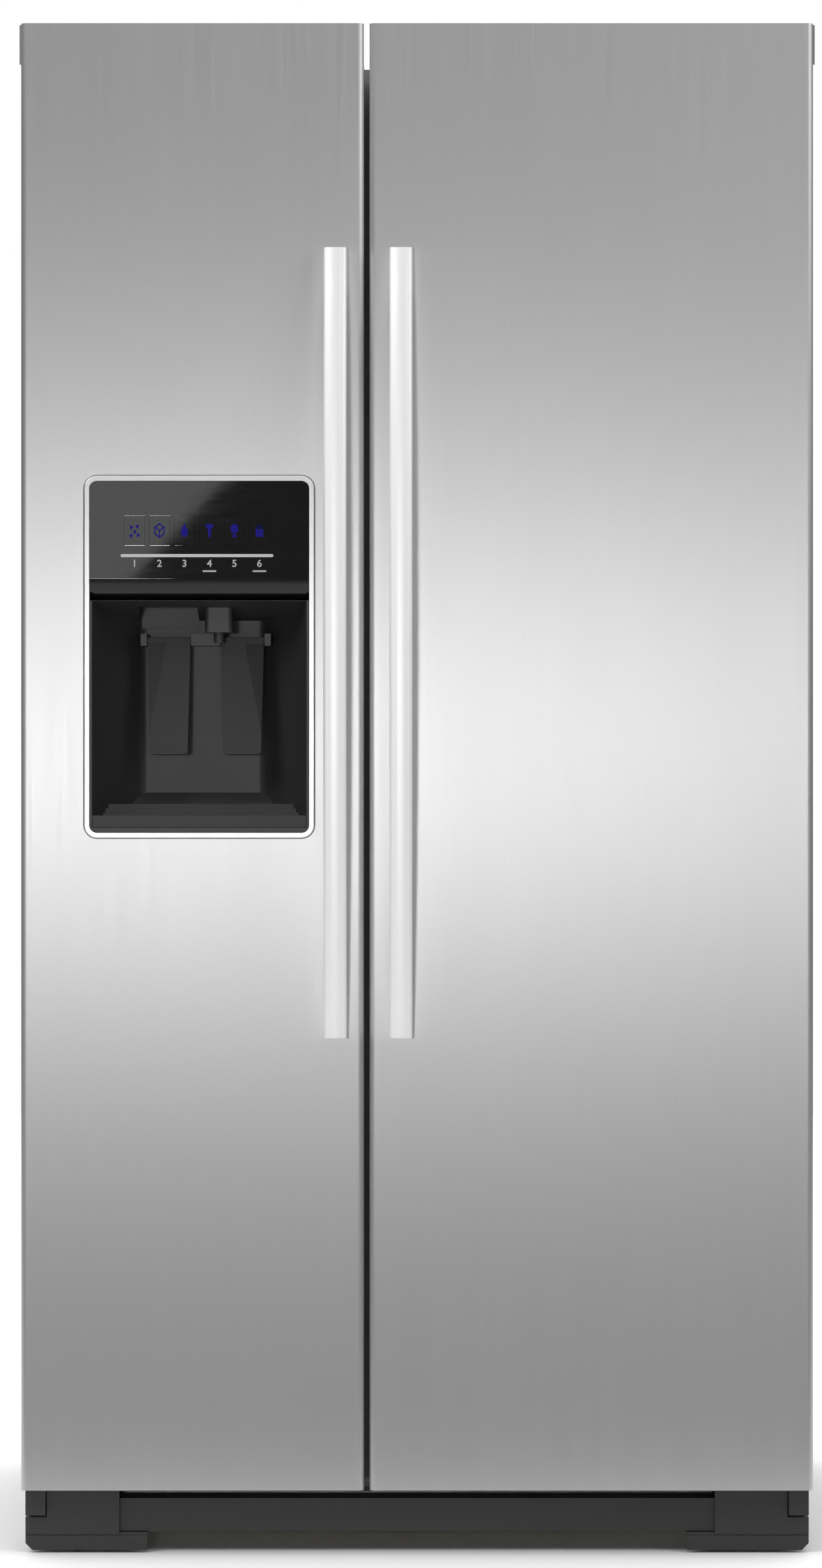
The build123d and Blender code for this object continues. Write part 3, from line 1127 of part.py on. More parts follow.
def evaporator_cover():
    """Duct cover over the evaporator: front sheet, top, air slots, fan ring and motor bracket."""
    x = grown(FREEZER_X, -0.5)
    z = (HUMP_TOP, DUCT_TOP_Z)
    cover = block(x, (DUCT_FRONT, LINER_BACK), z)
    cover -= block(grown(x, -DUCT_SHEET), (DUCT_FRONT + DUCT_SHEET, LINER_BACK + 1), (z[0] - 1, z[1] - DUCT_SHEET))
    for i in range(5):
        low = z[0] + 22 + i * 13
        cover -= block(grown(x, -40), (DUCT_FRONT - 1, DUCT_FRONT + DUCT_SHEET + 1), (low, low + 6))
    cover &= compartment(FREEZER_X, 0)
    cover -= rod((FREEZER_MIDDLE, DUCT_FRONT - 1, FAN_Z), "Y", FAN_RADIUS + 5, DUCT_SHEET + 2)
    for i in range(7):
        y_bar = FAN_Z + (i - 3) * 16
        cover += block((FREEZER_MIDDLE - FAN_RADIUS - 8, FREEZER_MIDDLE + FAN_RADIUS + 8),
                       (DUCT_FRONT, DUCT_FRONT + DUCT_SHEET), (y_bar - 3, y_bar + 3))
    motor_y = (DUCT_FRONT + FAN_DEPTH + 16, DUCT_FRONT + FAN_DEPTH + 40)
    motor = rod((FREEZER_MIDDLE, motor_y[0], FAN_Z), "Y", 20.0, motor_y[1] - motor_y[0])
    arm = block((x[0] + DUCT_SHEET, x[1] - DUCT_SHEET), (motor_y[1] - 5, motor_y[1]), (FAN_Z - 8, FAN_Z + 8))
    bore = rod((FREEZER_MIDDLE, motor_y[0] - 1, FAN_Z), "Y", FAN_SHAFT + RUNNING_CLEARANCE, 14)
    return cover + ((motor + arm) - bore)


def fan(plane, radius, depth, blades, shaft_length):
    """Axial fan: hub, pitched blades and a shaft out of its back."""
    hub = extrude(plane * Circle(radius * 0.3), amount=depth)
    for i in range(blades):
        blade = Pos(radius * 0.62, 0, depth / 2) * Rot(32, 0, 0) * Box(radius * 0.74, depth * 0.95, 2.0)
        hub += plane.location * (Rot(0, 0, i * 360 / blades) * blade)
    return hub + extrude(plane.offset(depth) * Circle(FAN_SHAFT), amount=shaft_length)


def evaporator_fan():
    """Fan behind the duct cover's grille, its shaft in the motor's bearing."""
    origin = (FREEZER_MIDDLE, DUCT_FRONT + 10, FAN_Z)
    return fan(Plane(origin=origin, x_dir=(1, 0, 0), z_dir=(0, 1, 0)), FAN_RADIUS, FAN_DEPTH, 5, 17)


def control_housing():
    """Ceiling console of the fridge: air outlets, control face and a recess for the lamp."""
    x = grown(FRIDGE_X, -50)
    y = (SHELF_FRONT + 15, SHELF_FRONT + 15 + CONTROL_DEPTH)
    z = (CEILING_Z - CONTROL_HEIGHT, CEILING_Z)
    body = rounded(x, y, z, 14.0, Axis.Z)
    body = chamfer(body.faces().sort_by(Axis.Z)[0].edges(), 5.0)
    middle = sum(x) / 2
    for i in range(6):
        left = middle - 110 + i * 40
        body -= block((left, left + 28), (y[0] - 1, y[0] + 8), (z[0] + 14, z[0] + 26))
    return body - lamp_pocket(0)


def lamp_pocket(inset):
    middle = sum(FRIDGE_X) / 2
    y = (SHELF_FRONT + 80, SHELF_FRONT + 185)
    z = (CEILING_Z - CONTROL_HEIGHT - 1, CEILING_Z - CONTROL_HEIGHT + 12)
    return rounded(grown((middle - 90, middle + 90), -inset), grown(y, -inset), z, 10.0, Axis.Z)


def lamp_covers():
    """Diffusers: one in the fridge's console, one on the freezer's back wall."""
    fridge = lamp_pocket(0.0) & block(FRIDGE_X, (CABINET_FRONT, LINER_BACK),
                                      (CEILING_Z - CONTROL_HEIGHT, CEILING_Z))
    x = (FREEZER_MIDDLE - 60, FREEZER_MIDDLE + 60)
    freezer = rounded(x, (LINER_BACK - 16, LINER_BACK), (CEILING_Z - 110, CEILING_Z - 50), 8.0, Axis.Y)
    return [fridge, chamfer(freezer.faces().sort_by(Axis.Y)[0].edges(), 3.0)]


# ---------------------------------------------------------------- dairy compartment
def dairy_limits():
    """The dairy box's span along X and the (y, z) centre of its rounded front."""
    return grown(FRIDGE_DOOR.bin_x, -DAIRY_WIDTH_GAP), (DOOR_BACK + 2, DAIRY_Z + DAIRY_FRONT)


def polar(centre, radius, angle):
    return centre[0] + radius * cos(radians(angle)), centre[1] + radius * sin(radians(angle))


def arc_prism(x, centre, radius, reach):
    """A quarter-round prism along X."""
    disc = Plane.YZ.offset(x[0]) * Pos(*centre) * Circle(radius)
    corner = block(x, (centre[0], centre[0] + reach), (centre[1], centre[1] + reach))
    return extrude(disc, amount=x[1] - x[0]) & corner


def dairy_box():
    """Fixed tray and end cheeks of the dairy compartment."""
    x, centre = dairy_limits()
    y = (DOOR_BACK + 0.2, centre[0] + DAIRY_LID_RADIUS + DAIRY_LID_SHEET)
    tray = block(x, y, (DAIRY_Z, DAIRY_Z + DAIRY_FRONT - TOUCH))
    tray -= block(grown(x, -BIN_WALL), grown(y, -BIN_WALL), (DAIRY_Z + BIN_WALL, DAIRY_Z + DAIRY_FRONT))
    body = tray
    for cheek in ((x[0], x[0] + BIN_WALL), (x[1] - BIN_WALL, x[1])):
        side = block(cheek, (y[0], centre[0]), (DAIRY_Z, centre[1] + DAIRY_RADIUS))
        side += block(cheek, (centre[0], centre[0] + DAIRY_RADIUS), (DAIRY_Z, centre[1]))
        body += side + arc_prism(cheek, centre, DAIRY_RADIUS, DAIRY_RADIUS)
    wings = [(FRIDGE_DOOR.bin_x[0] + 0.4, x[0]), (x[1], FRIDGE_DOOR.bin_x[1] - 0.4)]
    for wing in wings:
        body += block(wing, (y[0], DOOR_BACK + DYKE_HEIGHT - 6), (DAIRY_Z, DAIRY_Z + 16))
    pivot = polar(centre, *DAIRY_PIN_POLAR)
    return body - rod((x[0] - 1, *pivot), "X", DAIRY_PIN_RADIUS + RUNNING_CLEARANCE, x[1] - x[0] + 2)


def dairy_lid():
    """Clear curved lid with an ear at each end on a short pin."""
    x, centre = dairy_limits()
    outer = grown(x, 4)
    radius = DAIRY_LID_RADIUS
    shell = arc_prism(outer, centre, radius + DAIRY_LID_SHEET, radius + 10)
    shell -= arc_prism(grown(outer, 1), centre, radius, radius + 20)
    pivot = polar(centre, *DAIRY_PIN_POLAR)
    wedge = side_profile(grown(outer, 2), [
        centre, (centre[0], centre[1] + 2 * radius), polar(centre, 2 * radius, 72),
    ])
    shell -= wedge
    lid = shell
    for side, ear in ((-1, (outer[0], x[0] - TOUCH)), (1, (x[1] + TOUCH, outer[1]))):
        plate = arc_prism(ear, centre, radius + 1, radius + 10) - arc_prism(ear, centre, 78.0, radius)
        plate -= wedge
        plate &= side_profile(ear, [centre, polar(centre, 200, 45), polar(centre, 200, 80)])
        plate += rod((ear[0], *pivot), "X", 8.0, ear[1] - ear[0])
        start = ear[0] if side < 0 else ear[1] - 6.5
        lid += plate + rod((start, *pivot), "X", DAIRY_PIN_RADIUS, 6.5)
    return lid


# ---------------------------------------------------------------- machine room
def compressor():
    """Hermetic compressor: domed can, mounting plate, grommets and terminal box."""
    x, y = COMPRESSOR_X, MACHINE_FRONT + MACHINE_DEPTH / 2 + 5
    base = DECK_Z + 14
    can = rod((x, y, base), "Z", COMPRESSOR_RADIUS, COMPRESSOR_HEIGHT)
    can = chamfer(can.edges().filter_by(GeomType.CIRCLE), 18.0)
    plate = block((x - 85, x + 85), (y - 60, y + 60), (base, base + 3))
    body = can + plate
    for dx in (-70, 70):
        for dy in (-46, 46):
            body += rod((x + dx, y + dy, DECK_Z), "Z", 10.0, base - DECK_Z)
    return body + block((x - 98, x - 60), (y - 24, y + 24), (base + 50, base + 100))


def heat_exchangers():
    """Condenser coil in the machine room and evaporator coil behind the freezer's duct cover."""
    y = (MACHINE_FRONT + 40, CABINET_BACK - 40)
    points = []
    for i, z in enumerate(CONDENSER_LEVELS):
        ends = CONDENSER_X if i % 2 == 0 else CONDENSER_X[::-1]
        points += [(ends[0], y[i % 2], z), (ends[1], y[i % 2], z)]
    condenser = tube(points, TUBE_BEND, TUBE_RADIUS)
    for x in (CONDENSER_X[0] + 60, sum(CONDENSER_X) / 2, CONDENSER_X[1] - 60):
        condenser += block((x - 1, x + 1), grown(y, 14), (DECK_Z + TUB_WALL, CONDENSER_LEVELS[-1] + 14))
    fins_x = grown(FREEZER_X, -34)
    fins_y = (LINER_BACK - EVAPORATOR_DEPTH, LINER_BACK)
    fins = block(fins_x, fins_y, EVAPORATOR_Z)
    pitch = (fins_x[1] - fins_x[0]) / FIN_GROOVES
    for i in range(FIN_GROOVES):
        left = fins_x[0] + (i + 0.25) * pitch
        fins -= block((left, left + pitch / 2), (fins_y[0] - 1, fins_y[0] + 12), grown(EVAPORATOR_Z, 1))
    middle_y = sum(fins_y) / 2
    for end, step in ((fins_x[0], -18), (fins_x[1], 18)):
        for z in range(int(EVAPORATOR_Z[0]) + 60, int(EVAPORATOR_Z[1]) - 40, 120):
            loop = [(end - step / 6, middle_y, z), (end + step, middle_y, z),
                    (end + step, middle_y, z + 36), (end - step / 6, middle_y, z + 36)]
            fins += tube(loop, 12.0, TUBE_RADIUS)
    return [condenser, fins]


def drain_pan():
    x = (CONDENSER_X[0] - 30, CONDENSER_X[1] + 20)
    return tub(x, (MACHINE_FRONT + 20, CABINET_BACK - 18), (DECK_Z, DECK_Z + PAN_HEIGHT), TUB_WALL, 12.0)


def fan_shroud():
    """Wall across the machine room with the condenser fan's opening, and the fan's motor."""
    x = (CONDENSER_FAN_X, CONDENSER_FAN_X + SHROUD_SHEET)
    y = (MACHINE_FRONT + 4, CABINET_BACK - 4)
    wall = block(x, y, (DECK_Z, MACHINE_TOP_Z - 2))
    middle = sum(y) / 2
    wall -= rod((x[0] - 1, middle, CONDENSER_FAN_Z), "X", CONDENSER_FAN_RADIUS + 4, SHROUD_SHEET + 2)
    motor_x = x[0] + 48
    motor = rod((motor_x, middle, CONDENSER_FAN_Z), "X", 24.0, 36)
    strap = block((motor_x + 10, motor_x + 14), y, (CONDENSER_FAN_Z - 9, CONDENSER_FAN_Z + 9))
    for end in ((y[0], y[0] + 4), (y[1] - 4, y[1])):
        strap += block((x[0], motor_x + 14), end, (CONDENSER_FAN_Z - 9, CONDENSER_FAN_Z + 9))
    bore = rod((motor_x - 1, middle, CONDENSER_FAN_Z), "X", FAN_SHAFT + RUNNING_CLEARANCE, 16)
    return wall + ((motor + strap) - bore)


def condenser_fan():
    middle = (MACHINE_FRONT + CABINET_BACK) / 2
    plane = Plane(origin=(CONDENSER_FAN_X - 6, middle, CONDENSER_FAN_Z), x_dir=(0, 1, 0), z_dir=(1, 0, 0))
    return fan(plane, CONDENSER_FAN_RADIUS, 26, 5, 40)


def rear_cover():
    """Formed cover of the machine room with louvres, the supply cord's gland and the water inlet."""
    x = (-HALF_CABINET + SHEET, HALF_CABINET - SHEET)
    y = (CABINET_BACK - 2, CABINET_BACK)
    body = block(x, y, (DECK_Z - DECK_SHEET, MACHINE_TOP_Z))
    pad_x, pad_z = grown(x, -36), (DECK_Z + 22, MACHINE_TOP_Z - 24)
    pad = rounded(pad_x, (y[0], y[1] + REAR_BULGE), pad_z, 16.0, Axis.Y)
    pad = chamfer(pad.faces().sort_by(Axis.Y)[-1].edges(), REAR_BULGE - 3)
    hollow = rounded(grown(pad_x, -8), (y[0] - 1, y[1] + REAR_BULGE - 1.5), grown(pad_z, -8), 10.0, Axis.Y)
    body = body + pad - hollow
    for column in (-1, 0, 1):
        middle = column * pad_x[1] * 0.63
        for i in range(LOUVRES):
            z = pad_z[0] + 26 + i * 16
            body -= block((middle - 90, middle + 90), (y[1] - 1, y[1] + REAR_BULGE + 1), (z, z + 6))
    inlet_x, gland_x = grown(pad_x, -FITTING_INSET)
    back, height = y[1] + REAR_BULGE - 5, pad_z[0] + FITTING_HEIGHT
    for fitting_x in (inlet_x, gland_x):
        body -= rod((fitting_x, back, height), "Y", FITTING_RADIUS + TOUCH, 6.0)
    gland = rod((gland_x, back, height), "Y", FITTING_RADIUS, 5.0)
    inlet = rod((inlet_x, back, height), "Y", FITTING_RADIUS, 3.0)
    inlet += rod((inlet_x, back + 3, height), "Y", FITTING_RADIUS - 3, 2.0)
    inlet -= rod((inlet_x, back + 1, height), "Y", FITTING_RADIUS - 5, 5.0)
    return [body, gland, inlet]


# ---------------------------------------------------------------- build
def build():
    os.makedirs("parts", exist_ok=True)
    save("cabinet_wrapper", cabinet_wrapper())
    save("rear_panel", rear_panel())
    save("cabinet_foam", cabinet_foam())
    save("freezer_liner", freezer_liner())
    save("fridge_liner", fridge_liner())
    save("base_frame", base_frame())
    save("base_grille", base_grille())
    save("door_hinges", *door_hinges())
    save("hinge_covers", *hinge_covers())
    save("front_rollers", *rollers(CABINET_FRONT + FRONT_ROLLER_Y, ROLLER_RADIUS + FRONT_ROLLER_LIFT))
    save("rear_rollers", *rollers(CABINET_BACK - REAR_ROLLER_Y, ROLLER_RADIUS))
    save("levelling_foot_left", levelling_foot(-1))
    save("levelling_foot_right", levelling_foot(1))

    save("freezer_door_skin", freezer_door_skin())
    save("freezer_door_foam", freezer_door_foam())
    save("freezer_door_liner", freezer_door_liner())
    save("freezer_door_caps", *door_caps(FREEZER_DOOR))
    save("freezer_door_gasket", door_gasket(FREEZER_DOOR))
    save("freezer_door_bins", *door_bins(FREEZER_DOOR))
    save("freezer_handle", *handle(FREEZER_DOOR))
    save("fridge_door_skin", door_skin(FRIDGE_DOOR))
    save("fridge_door_foam", door_foam(FRIDGE_DOOR))
    save("fridge_door_liner", door_liner(FRIDGE_DOOR, (DAIRY_Z,)))
    save("fridge_door_caps", *door_caps(FRIDGE_DOOR))
    save("fridge_door_gasket", door_gasket(FRIDGE_DOOR))
    save("fridge_door_bins", *door_bins(FRIDGE_DOOR), dairy_box())
    save("fridge_handle", *handle(FRIDGE_DOOR))
    save("dairy_lid", dairy_lid())

    save("dispenser_bezel", dispenser_bezel())
    save("dispenser_housing", dispenser_housing())
    save("dispenser_panel", dispenser_panel())
    save("dispenser_outlets", *dispenser_outlets())
    save("drip_tray", drip_tray())
    save("chute_flap", chute_flap())
    for name, side, span in zip(("ice_paddle", "water_paddle"), (-1, 1), paddle_spans()):
        save(name, paddle(span, side))
    for number, x in enumerate(key_centres(), 1):
        save(f"dispenser_key_{number}", dispenser_key(x))

    save("shelf_glass", *shelf_glass())
    save("shelf_frames", *shelf_frames())
    save("shelf_tracks", *shelf_tracks())
    save("crisper_drawers", *crisper_drawers())
    save("control_housing", control_housing())
    save("lamp_covers", *lamp_covers())
    save("freezer_bins", *freezer_bins())
    save("ice_auger", ice_auger())
    save("ice_maker", ice_maker())
    save("ice_ejector", ice_ejector())
    save("evaporator_cover", evaporator_cover())
    save("evaporator_fan", evaporator_fan())

    save("compressor", compressor())
    save("heat_exchangers", *heat_exchangers())
    save("drain_pan", drain_pan())
    save("fan_shroud", fan_shroud())
    save("condenser_fan", condenser_fan())
    save("rear_cover", *rear_cover())


build()
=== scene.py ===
import json
import math

import bmesh
import bpy
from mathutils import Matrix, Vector

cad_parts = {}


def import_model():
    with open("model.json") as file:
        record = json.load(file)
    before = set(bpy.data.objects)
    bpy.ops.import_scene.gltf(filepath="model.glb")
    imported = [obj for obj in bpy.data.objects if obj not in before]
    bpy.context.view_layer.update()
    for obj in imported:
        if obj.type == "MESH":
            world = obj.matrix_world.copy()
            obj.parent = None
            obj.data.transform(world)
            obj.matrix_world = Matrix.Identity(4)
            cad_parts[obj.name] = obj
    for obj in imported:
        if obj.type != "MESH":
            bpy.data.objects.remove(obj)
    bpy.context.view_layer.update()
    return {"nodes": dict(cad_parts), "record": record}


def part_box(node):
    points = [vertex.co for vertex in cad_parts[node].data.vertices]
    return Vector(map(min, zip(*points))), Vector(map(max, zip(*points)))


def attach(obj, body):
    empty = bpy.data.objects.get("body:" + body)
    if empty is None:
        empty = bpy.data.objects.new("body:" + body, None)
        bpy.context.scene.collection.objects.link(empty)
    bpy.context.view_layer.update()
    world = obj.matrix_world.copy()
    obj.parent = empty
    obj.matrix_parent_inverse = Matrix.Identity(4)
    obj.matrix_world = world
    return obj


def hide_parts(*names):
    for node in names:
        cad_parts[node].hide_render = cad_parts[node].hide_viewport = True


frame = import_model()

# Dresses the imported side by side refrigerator. The nodes get their finishes, two smooth handles
# take the place of the faceted ones, and the panel's signs, a groove and the rear screws are
# added. Shapes are in millimetres up to piece(), and the studio is in metres.

MM = 0.001
PER_METRE = 1000.0           # over a size in millimetres: how many of it make a metre
WHITE = (1.0, 1.0, 1.0, 1.0)
MIX_A, MIX_B, MIX_RESULT = 6, 7, 2     # the colour sockets of a Mix node


def added(name, data):
    """A new object in the scene."""
    made = bpy.data.objects.new(name, data)
    bpy.context.scene.collection.objects.link(made)
    return made


# ---------------------------------------------------------------- materials
class Graph:
    """A shader node tree that is filled from code."""

    def __init__(self, tree):
        self.tree = tree

    def feed(self, node, inputs):
        """Sets or links a node's inputs."""
        for key, value in inputs.items():
            if isinstance(value, bpy.types.NodeSocket):
                self.tree.links.new(value, node.inputs[key])
            else:
                node.inputs[key].default_value = value

    def node(self, kind, inputs, output=0, **attributes):
        """Adds a node and returns one of its outputs."""
        made = self.tree.nodes.new(kind)
        for key, value in attributes.items():
            setattr(made, key, value)
        self.feed(made, inputs)
        return made.outputs[output]

    def calculate(self, operation, a, b):
        """A Math node on two values."""
        return self.node("ShaderNodeMath", {0: a, 1: b}, operation=operation)


class Finish(Graph):
    """A procedural material: one Principled shader fed by textures in the object's own space."""

    def __init__(self, name, colour, roughness, metallic=0.0, **settings):
        self.colour = colour
        self.material = bpy.data.materials.new(name)
        self.material.use_nodes = True
        super().__init__(self.material.node_tree)
        self.shader = self.tree.nodes["Principled BSDF"]
        self.place = self.node("ShaderNodeTexCoord", {}, "Object")
        self.shade(Base_Color=(*colour, 1.0), Roughness=roughness, Metallic=metallic, **settings)

    def shade(self, **inputs):
        """Sets or links the shader's inputs, named with _ for their spaces."""
        self.feed(self.shader, {key.replace("_", " "): value for key, value in inputs.items()})
        return self

    def scaled(self, rates):
        """The object's own coordinates times a rate per metre, for all axes or for each."""
        rates = rates if isinstance(rates, tuple) else (rates,) * 3
        inputs = {0: self.place, 1: rates}
        return self.node("ShaderNodeVectorMath", inputs, operation="MULTIPLY")

    def noise(self, rates, detail=3.0, roughness=0.5):
        """Cloudy noise. A rate is the number of its features in a metre."""
        inputs = {"Vector": self.scaled(rates), "Scale": 1.0, "Detail": detail,
                  "Roughness": roughness}
        return self.node("ShaderNodeTexNoise", inputs)

    def cells(self, rates, output="Distance"):
        """Voronoi cells: the distance to each one's middle, or another output."""
        inputs = {"Vector": self.scaled(rates), "Scale": 1.0}
        return self.node("ShaderNodeTexVoronoi", inputs, output)

    def spread(self, value, low, high, start=0.0, end=1.0):
        """Maps a value that runs from start to end onto low to high."""
        inputs = {"Value": value, "From Min": start, "From Max": end,
                  "To Min": low, "To Max": high}
        return self.node("ShaderNodeMapRange", inputs)

    def blend(self, *parts):
        """A weighted sum of several patterns, each a (weight, pattern) pair."""
        total = None
        for weight, value in parts:
            term = self.calculate("MULTIPLY", value, weight)
            total = term if total is None else self.calculate("ADD", total, term)
        return total

    def shades(self, value, dark, light):
        """The finish's colour times a factor that follows the value from dark to light."""
        ends = [(*(c * factor for c in self.colour), 1.0) for factor in (dark, light)]
        inputs = {"Factor": value, MIX_A: ends[0], MIX_B: ends[1]}
        return self.node("ShaderNodeMix", inputs, MIX_RESULT, data_type="RGBA")

    def tint(self, value, dark, light):
        """Shades the base colour with a pattern."""
        return self.shade(Base_Color=self.shades(value, dark, light))

    def rough(self, value, low, high):
        """Roughness from low to high over the middle of a pattern's range."""
        return self.shade(Roughness=self.spread(value, low, high, start=0.3, end=0.7))

    def bump(self, value, depth_mm, strength=1.0, radius_mm=0.0):
        """Relief from a pattern, and rounded edges where a radius is given."""
        inputs = {"Height": value, "Distance": depth_mm * MM, "Strength": strength}
        if radius_mm:
            inputs["Normal"] = self.node("ShaderNodeBevel", {"Radius": radius_mm * MM}, samples=4)
        return self.shade(Normal=self.node("ShaderNodeBump", inputs))

    def see_through(self, middle, edge):
        """Opacity of thin clear material, from where it faces the eye to where it is edge on."""
        facing = self.node("ShaderNodeLayerWeight", {"Blend": 0.35}, "Facing")
        return self.shade(Alpha=self.spread(facing, middle, edge))


def steel(name, colour, roughness, contrast, metallic=1.0, anisotropy=0.8):
    """Sheet brushed along Z: the grain runs vertically and spreads reflections sideways."""
    made = Finish(name, colour, roughness, metallic, Anisotropic=anisotropy)
    made.shade(Tangent=made.node("ShaderNodeTangent", {}, direction_type="RADIAL", axis="Z"))
    hairs = made.noise((2400, 2400, 12), detail=2.0)
    streaks = made.noise((520, 520, 5), detail=5.0, roughness=0.65)
    clouds = made.noise((6, 6, 2), detail=2.0)
    tone = made.blend((0.4, hairs), (0.4, streaks), (0.2, clouds))
    made.tint(made.spread(tone, 0.0, 1.0, start=0.35, end=0.65), 1 - contrast, 1 + contrast)
    made.rough(streaks, roughness - 0.02, roughness + 0.02)
    return made.bump(made.blend((0.6, hairs), (0.4, streaks)), depth_mm=0.004, strength=0.25)


def moulded(name, colour, roughness, grain_mm, depth_mm):
    """Moulded plastic with a spark-eroded grain and a slight unevenness of colour."""
    made = Finish(name, colour, roughness)
    grain = made.noise(PER_METRE / grain_mm, roughness=0.6)
    clouds = made.noise(12)
    made.tint(made.blend((0.45, grain), (0.55, clouds)), 0.86, 1.14)
    made.rough(grain, roughness - 0.06, roughness + 0.06)
    return made.bump(grain, depth_mm, strength=0.6, radius_mm=0.4)


def painted(name, colour, roughness, cell_mm, depth_mm, metallic=0.0):
    """Baked paint with an orange-peel or leather texture."""
    made = Finish(name, colour, roughness, metallic)
    rate = PER_METRE / cell_mm
    peel = made.noise(rate, detail=4.0, roughness=0.55)
    pores = made.cells(rate * 1.4)
    clouds = made.noise(4)
    made.tint(made.blend((0.3, peel), (0.7, clouds)), 0.9, 1.1)
    made.rough(clouds, roughness - 0.05, roughness + 0.05)
    relief = made.blend((0.6, peel), (0.4, pores))
    return made.bump(relief, depth_mm, strength=0.7, radius_mm=0.5)


def plated(name, colour, roughness, spangle_mm, contrast):
    """Zinc or mill-finish metal with crystals of slightly different brightness."""
    made = Finish(name, colour, roughness, metallic=0.9)
    crystals = made.cells(PER_METRE / spangle_mm, "Color")
    brightness = made.node("ShaderNodeSeparateColor", {0: crystals})
    smear = made.noise(40, detail=4.0, roughness=0.6)
    tone = made.blend((0.6, brightness), (0.4, smear))
    made.tint(tone, 1 - contrast, 1 + contrast)
    made.rough(tone, roughness - 0.08, roughness + 0.08)
    return made.bump(smear, depth_mm=0.05, strength=0.4, radius_mm=0.3)


def clear(name, colour, roughness, middle_alpha, edge_alpha):
    """Clear moulded plastic or glass, with faint flow marks."""
    made = Finish(name, colour, roughness, IOR=1.5)
    flow = made.noise((30, 30, 90))
    made.tint(flow, 0.94, 1.06)
    made.rough(flow, roughness, roughness + 0.05)
    made.bump(flow, depth_mm=0.08, strength=0.25)
    return made.see_through(middle_alpha, edge_alpha)


def gloss_panel():
    """High-gloss black acrylic with faint wiping marks in its lacquer."""
    made = Finish("gloss_black", (0.006, 0.006, 0.007), 0.06)
    wiping = made.noise((25, 25, 140), detail=4.0, roughness=0.6)
    made.tint(wiping, 0.85, 1.2)
    made.rough(wiping, 0.02, 0.05)
    return made.bump(made.noise(5, detail=1.0), depth_mm=0.02, strength=0.05)


def rubber():
    """Soft vinyl gasket, slightly dusty in its folds."""
    made = Finish("gasket_grey", (0.34, 0.35, 0.36), 0.62, Sheen_Weight=0.2)
    dust = made.noise(60, detail=4.0)
    made.tint(dust, 0.85, 1.15)
    made.rough(dust, 0.55, 0.7)
    return made.bump(made.noise(700, detail=2.0), depth_mm=0.05, strength=0.4)


def foam():
    """Rigid polyurethane foam: closed cells of a millimetre or two."""
    made = Finish("foam", (0.82, 0.76, 0.55), 0.85)
    cells = made.cells(600)
    made.tint(cells, 0.8, 1.15)
    return made.bump(cells, depth_mm=0.5, strength=0.8)


def glowing(name, colour, strength):
    """Frosted light guide with a printed, slightly uneven glow."""
    made = Finish(name, colour, 0.45, Emission_Strength=strength)
    uneven = made.noise(220, detail=2.0)
    made.tint(uneven, 0.8, 1.2)
    return made.shade(Emission_Color=made.shades(uneven, 0.75, 1.25))


FINISHES = {                 # by material slot: colour, roughness, then the texture's own sizes
    "stainless": steel("stainless", (0.70, 0.70, 0.70), 0.41, 0.02),
    "cabinet_paint": painted("cabinet_paint", (0.30, 0.31, 0.32), 0.48, 1.6, 0.25, 0.25),
    "zinc": plated("zinc", (0.62, 0.63, 0.64), 0.38, 7.0, 0.10),
    "foam": foam(),
    "liner_white": painted("liner_white", (0.84, 0.85, 0.86), 0.28, 5.0, 0.06),
    "black_plastic": moulded("black_plastic", (0.018, 0.018, 0.019), 0.46, 0.5, 0.08),
    "housing_black": moulded("housing_black", (0.026, 0.026, 0.028), 0.42, 0.4, 0.04),
    "gloss_black": gloss_panel(),
    "cap_grey": moulded("cap_grey", (0.20, 0.20, 0.21), 0.45, 0.5, 0.06),
    "gasket_grey": rubber(),
    "bezel_silver": steel("bezel_silver", (0.66, 0.66, 0.67), 0.36, 0.02),
    "clear_plastic": clear("clear_plastic", (0.83, 0.88, 0.91), 0.10, 0.16, 0.75),
    "shelf_glass": clear("shelf_glass", (0.70, 0.84, 0.78), 0.04, 0.14, 0.85),
    "shelf_trim": moulded("shelf_trim", (0.72, 0.73, 0.75), 0.40, 0.6, 0.04),
    "white_steel": painted("white_steel", (0.80, 0.80, 0.80), 0.38, 1.2, 0.05),
    "diffuser": glowing("diffuser", (0.88, 0.90, 0.88), 0.35),
    "nylon": moulded("nylon", (0.70, 0.68, 0.62), 0.5, 0.8, 0.05),
    "ice_grey": moulded("ice_grey", (0.52, 0.54, 0.56), 0.42, 0.6, 0.05),
    "aluminium": plated("aluminium", (0.72, 0.73, 0.74), 0.34, 18.0, 0.06),
    "compressor_black": painted("compressor_black", (0.018, 0.018, 0.019), 0.35, 2.5, 0.2),
    "fan_blue": moulded("fan_blue", (0.07, 0.08, 0.10), 0.42, 0.6, 0.05),
    "cover_galvanised": plated("cover_galvanised", (0.58, 0.59, 0.60), 0.42, 14.0, 0.13),
}
HANDLE_STEEL = steel("handle_steel", (1.0, 1.0, 1.0), 0.44, 0.01, 0.4, anisotropy=0.2)
BLUE_GLOW = glowing("blue_glow", (0.004, 0.003, 0.11), 0.7).shade(Specular_IOR_Level=0.1)
PRINT_WHITE = moulded("print_white", (0.42, 0.42, 0.42), 0.5, 0.3, 0.01)
PRINT_SILVER = moulded("print_silver", (0.50, 0.50, 0.50), 0.4, 0.3, 0.01)
PADDLE_BLACK = moulded("paddle_black", (0.014, 0.014, 0.015), 0.30, 0.5, 0.05)
SEAM_GREY = moulded("seam_grey", (0.10, 0.10, 0.10), 0.6, 0.3, 0.01)
SCREW_STEEL = plated("screw_steel", (0.60, 0.60, 0.60), 0.32, 4.0, 0.08)
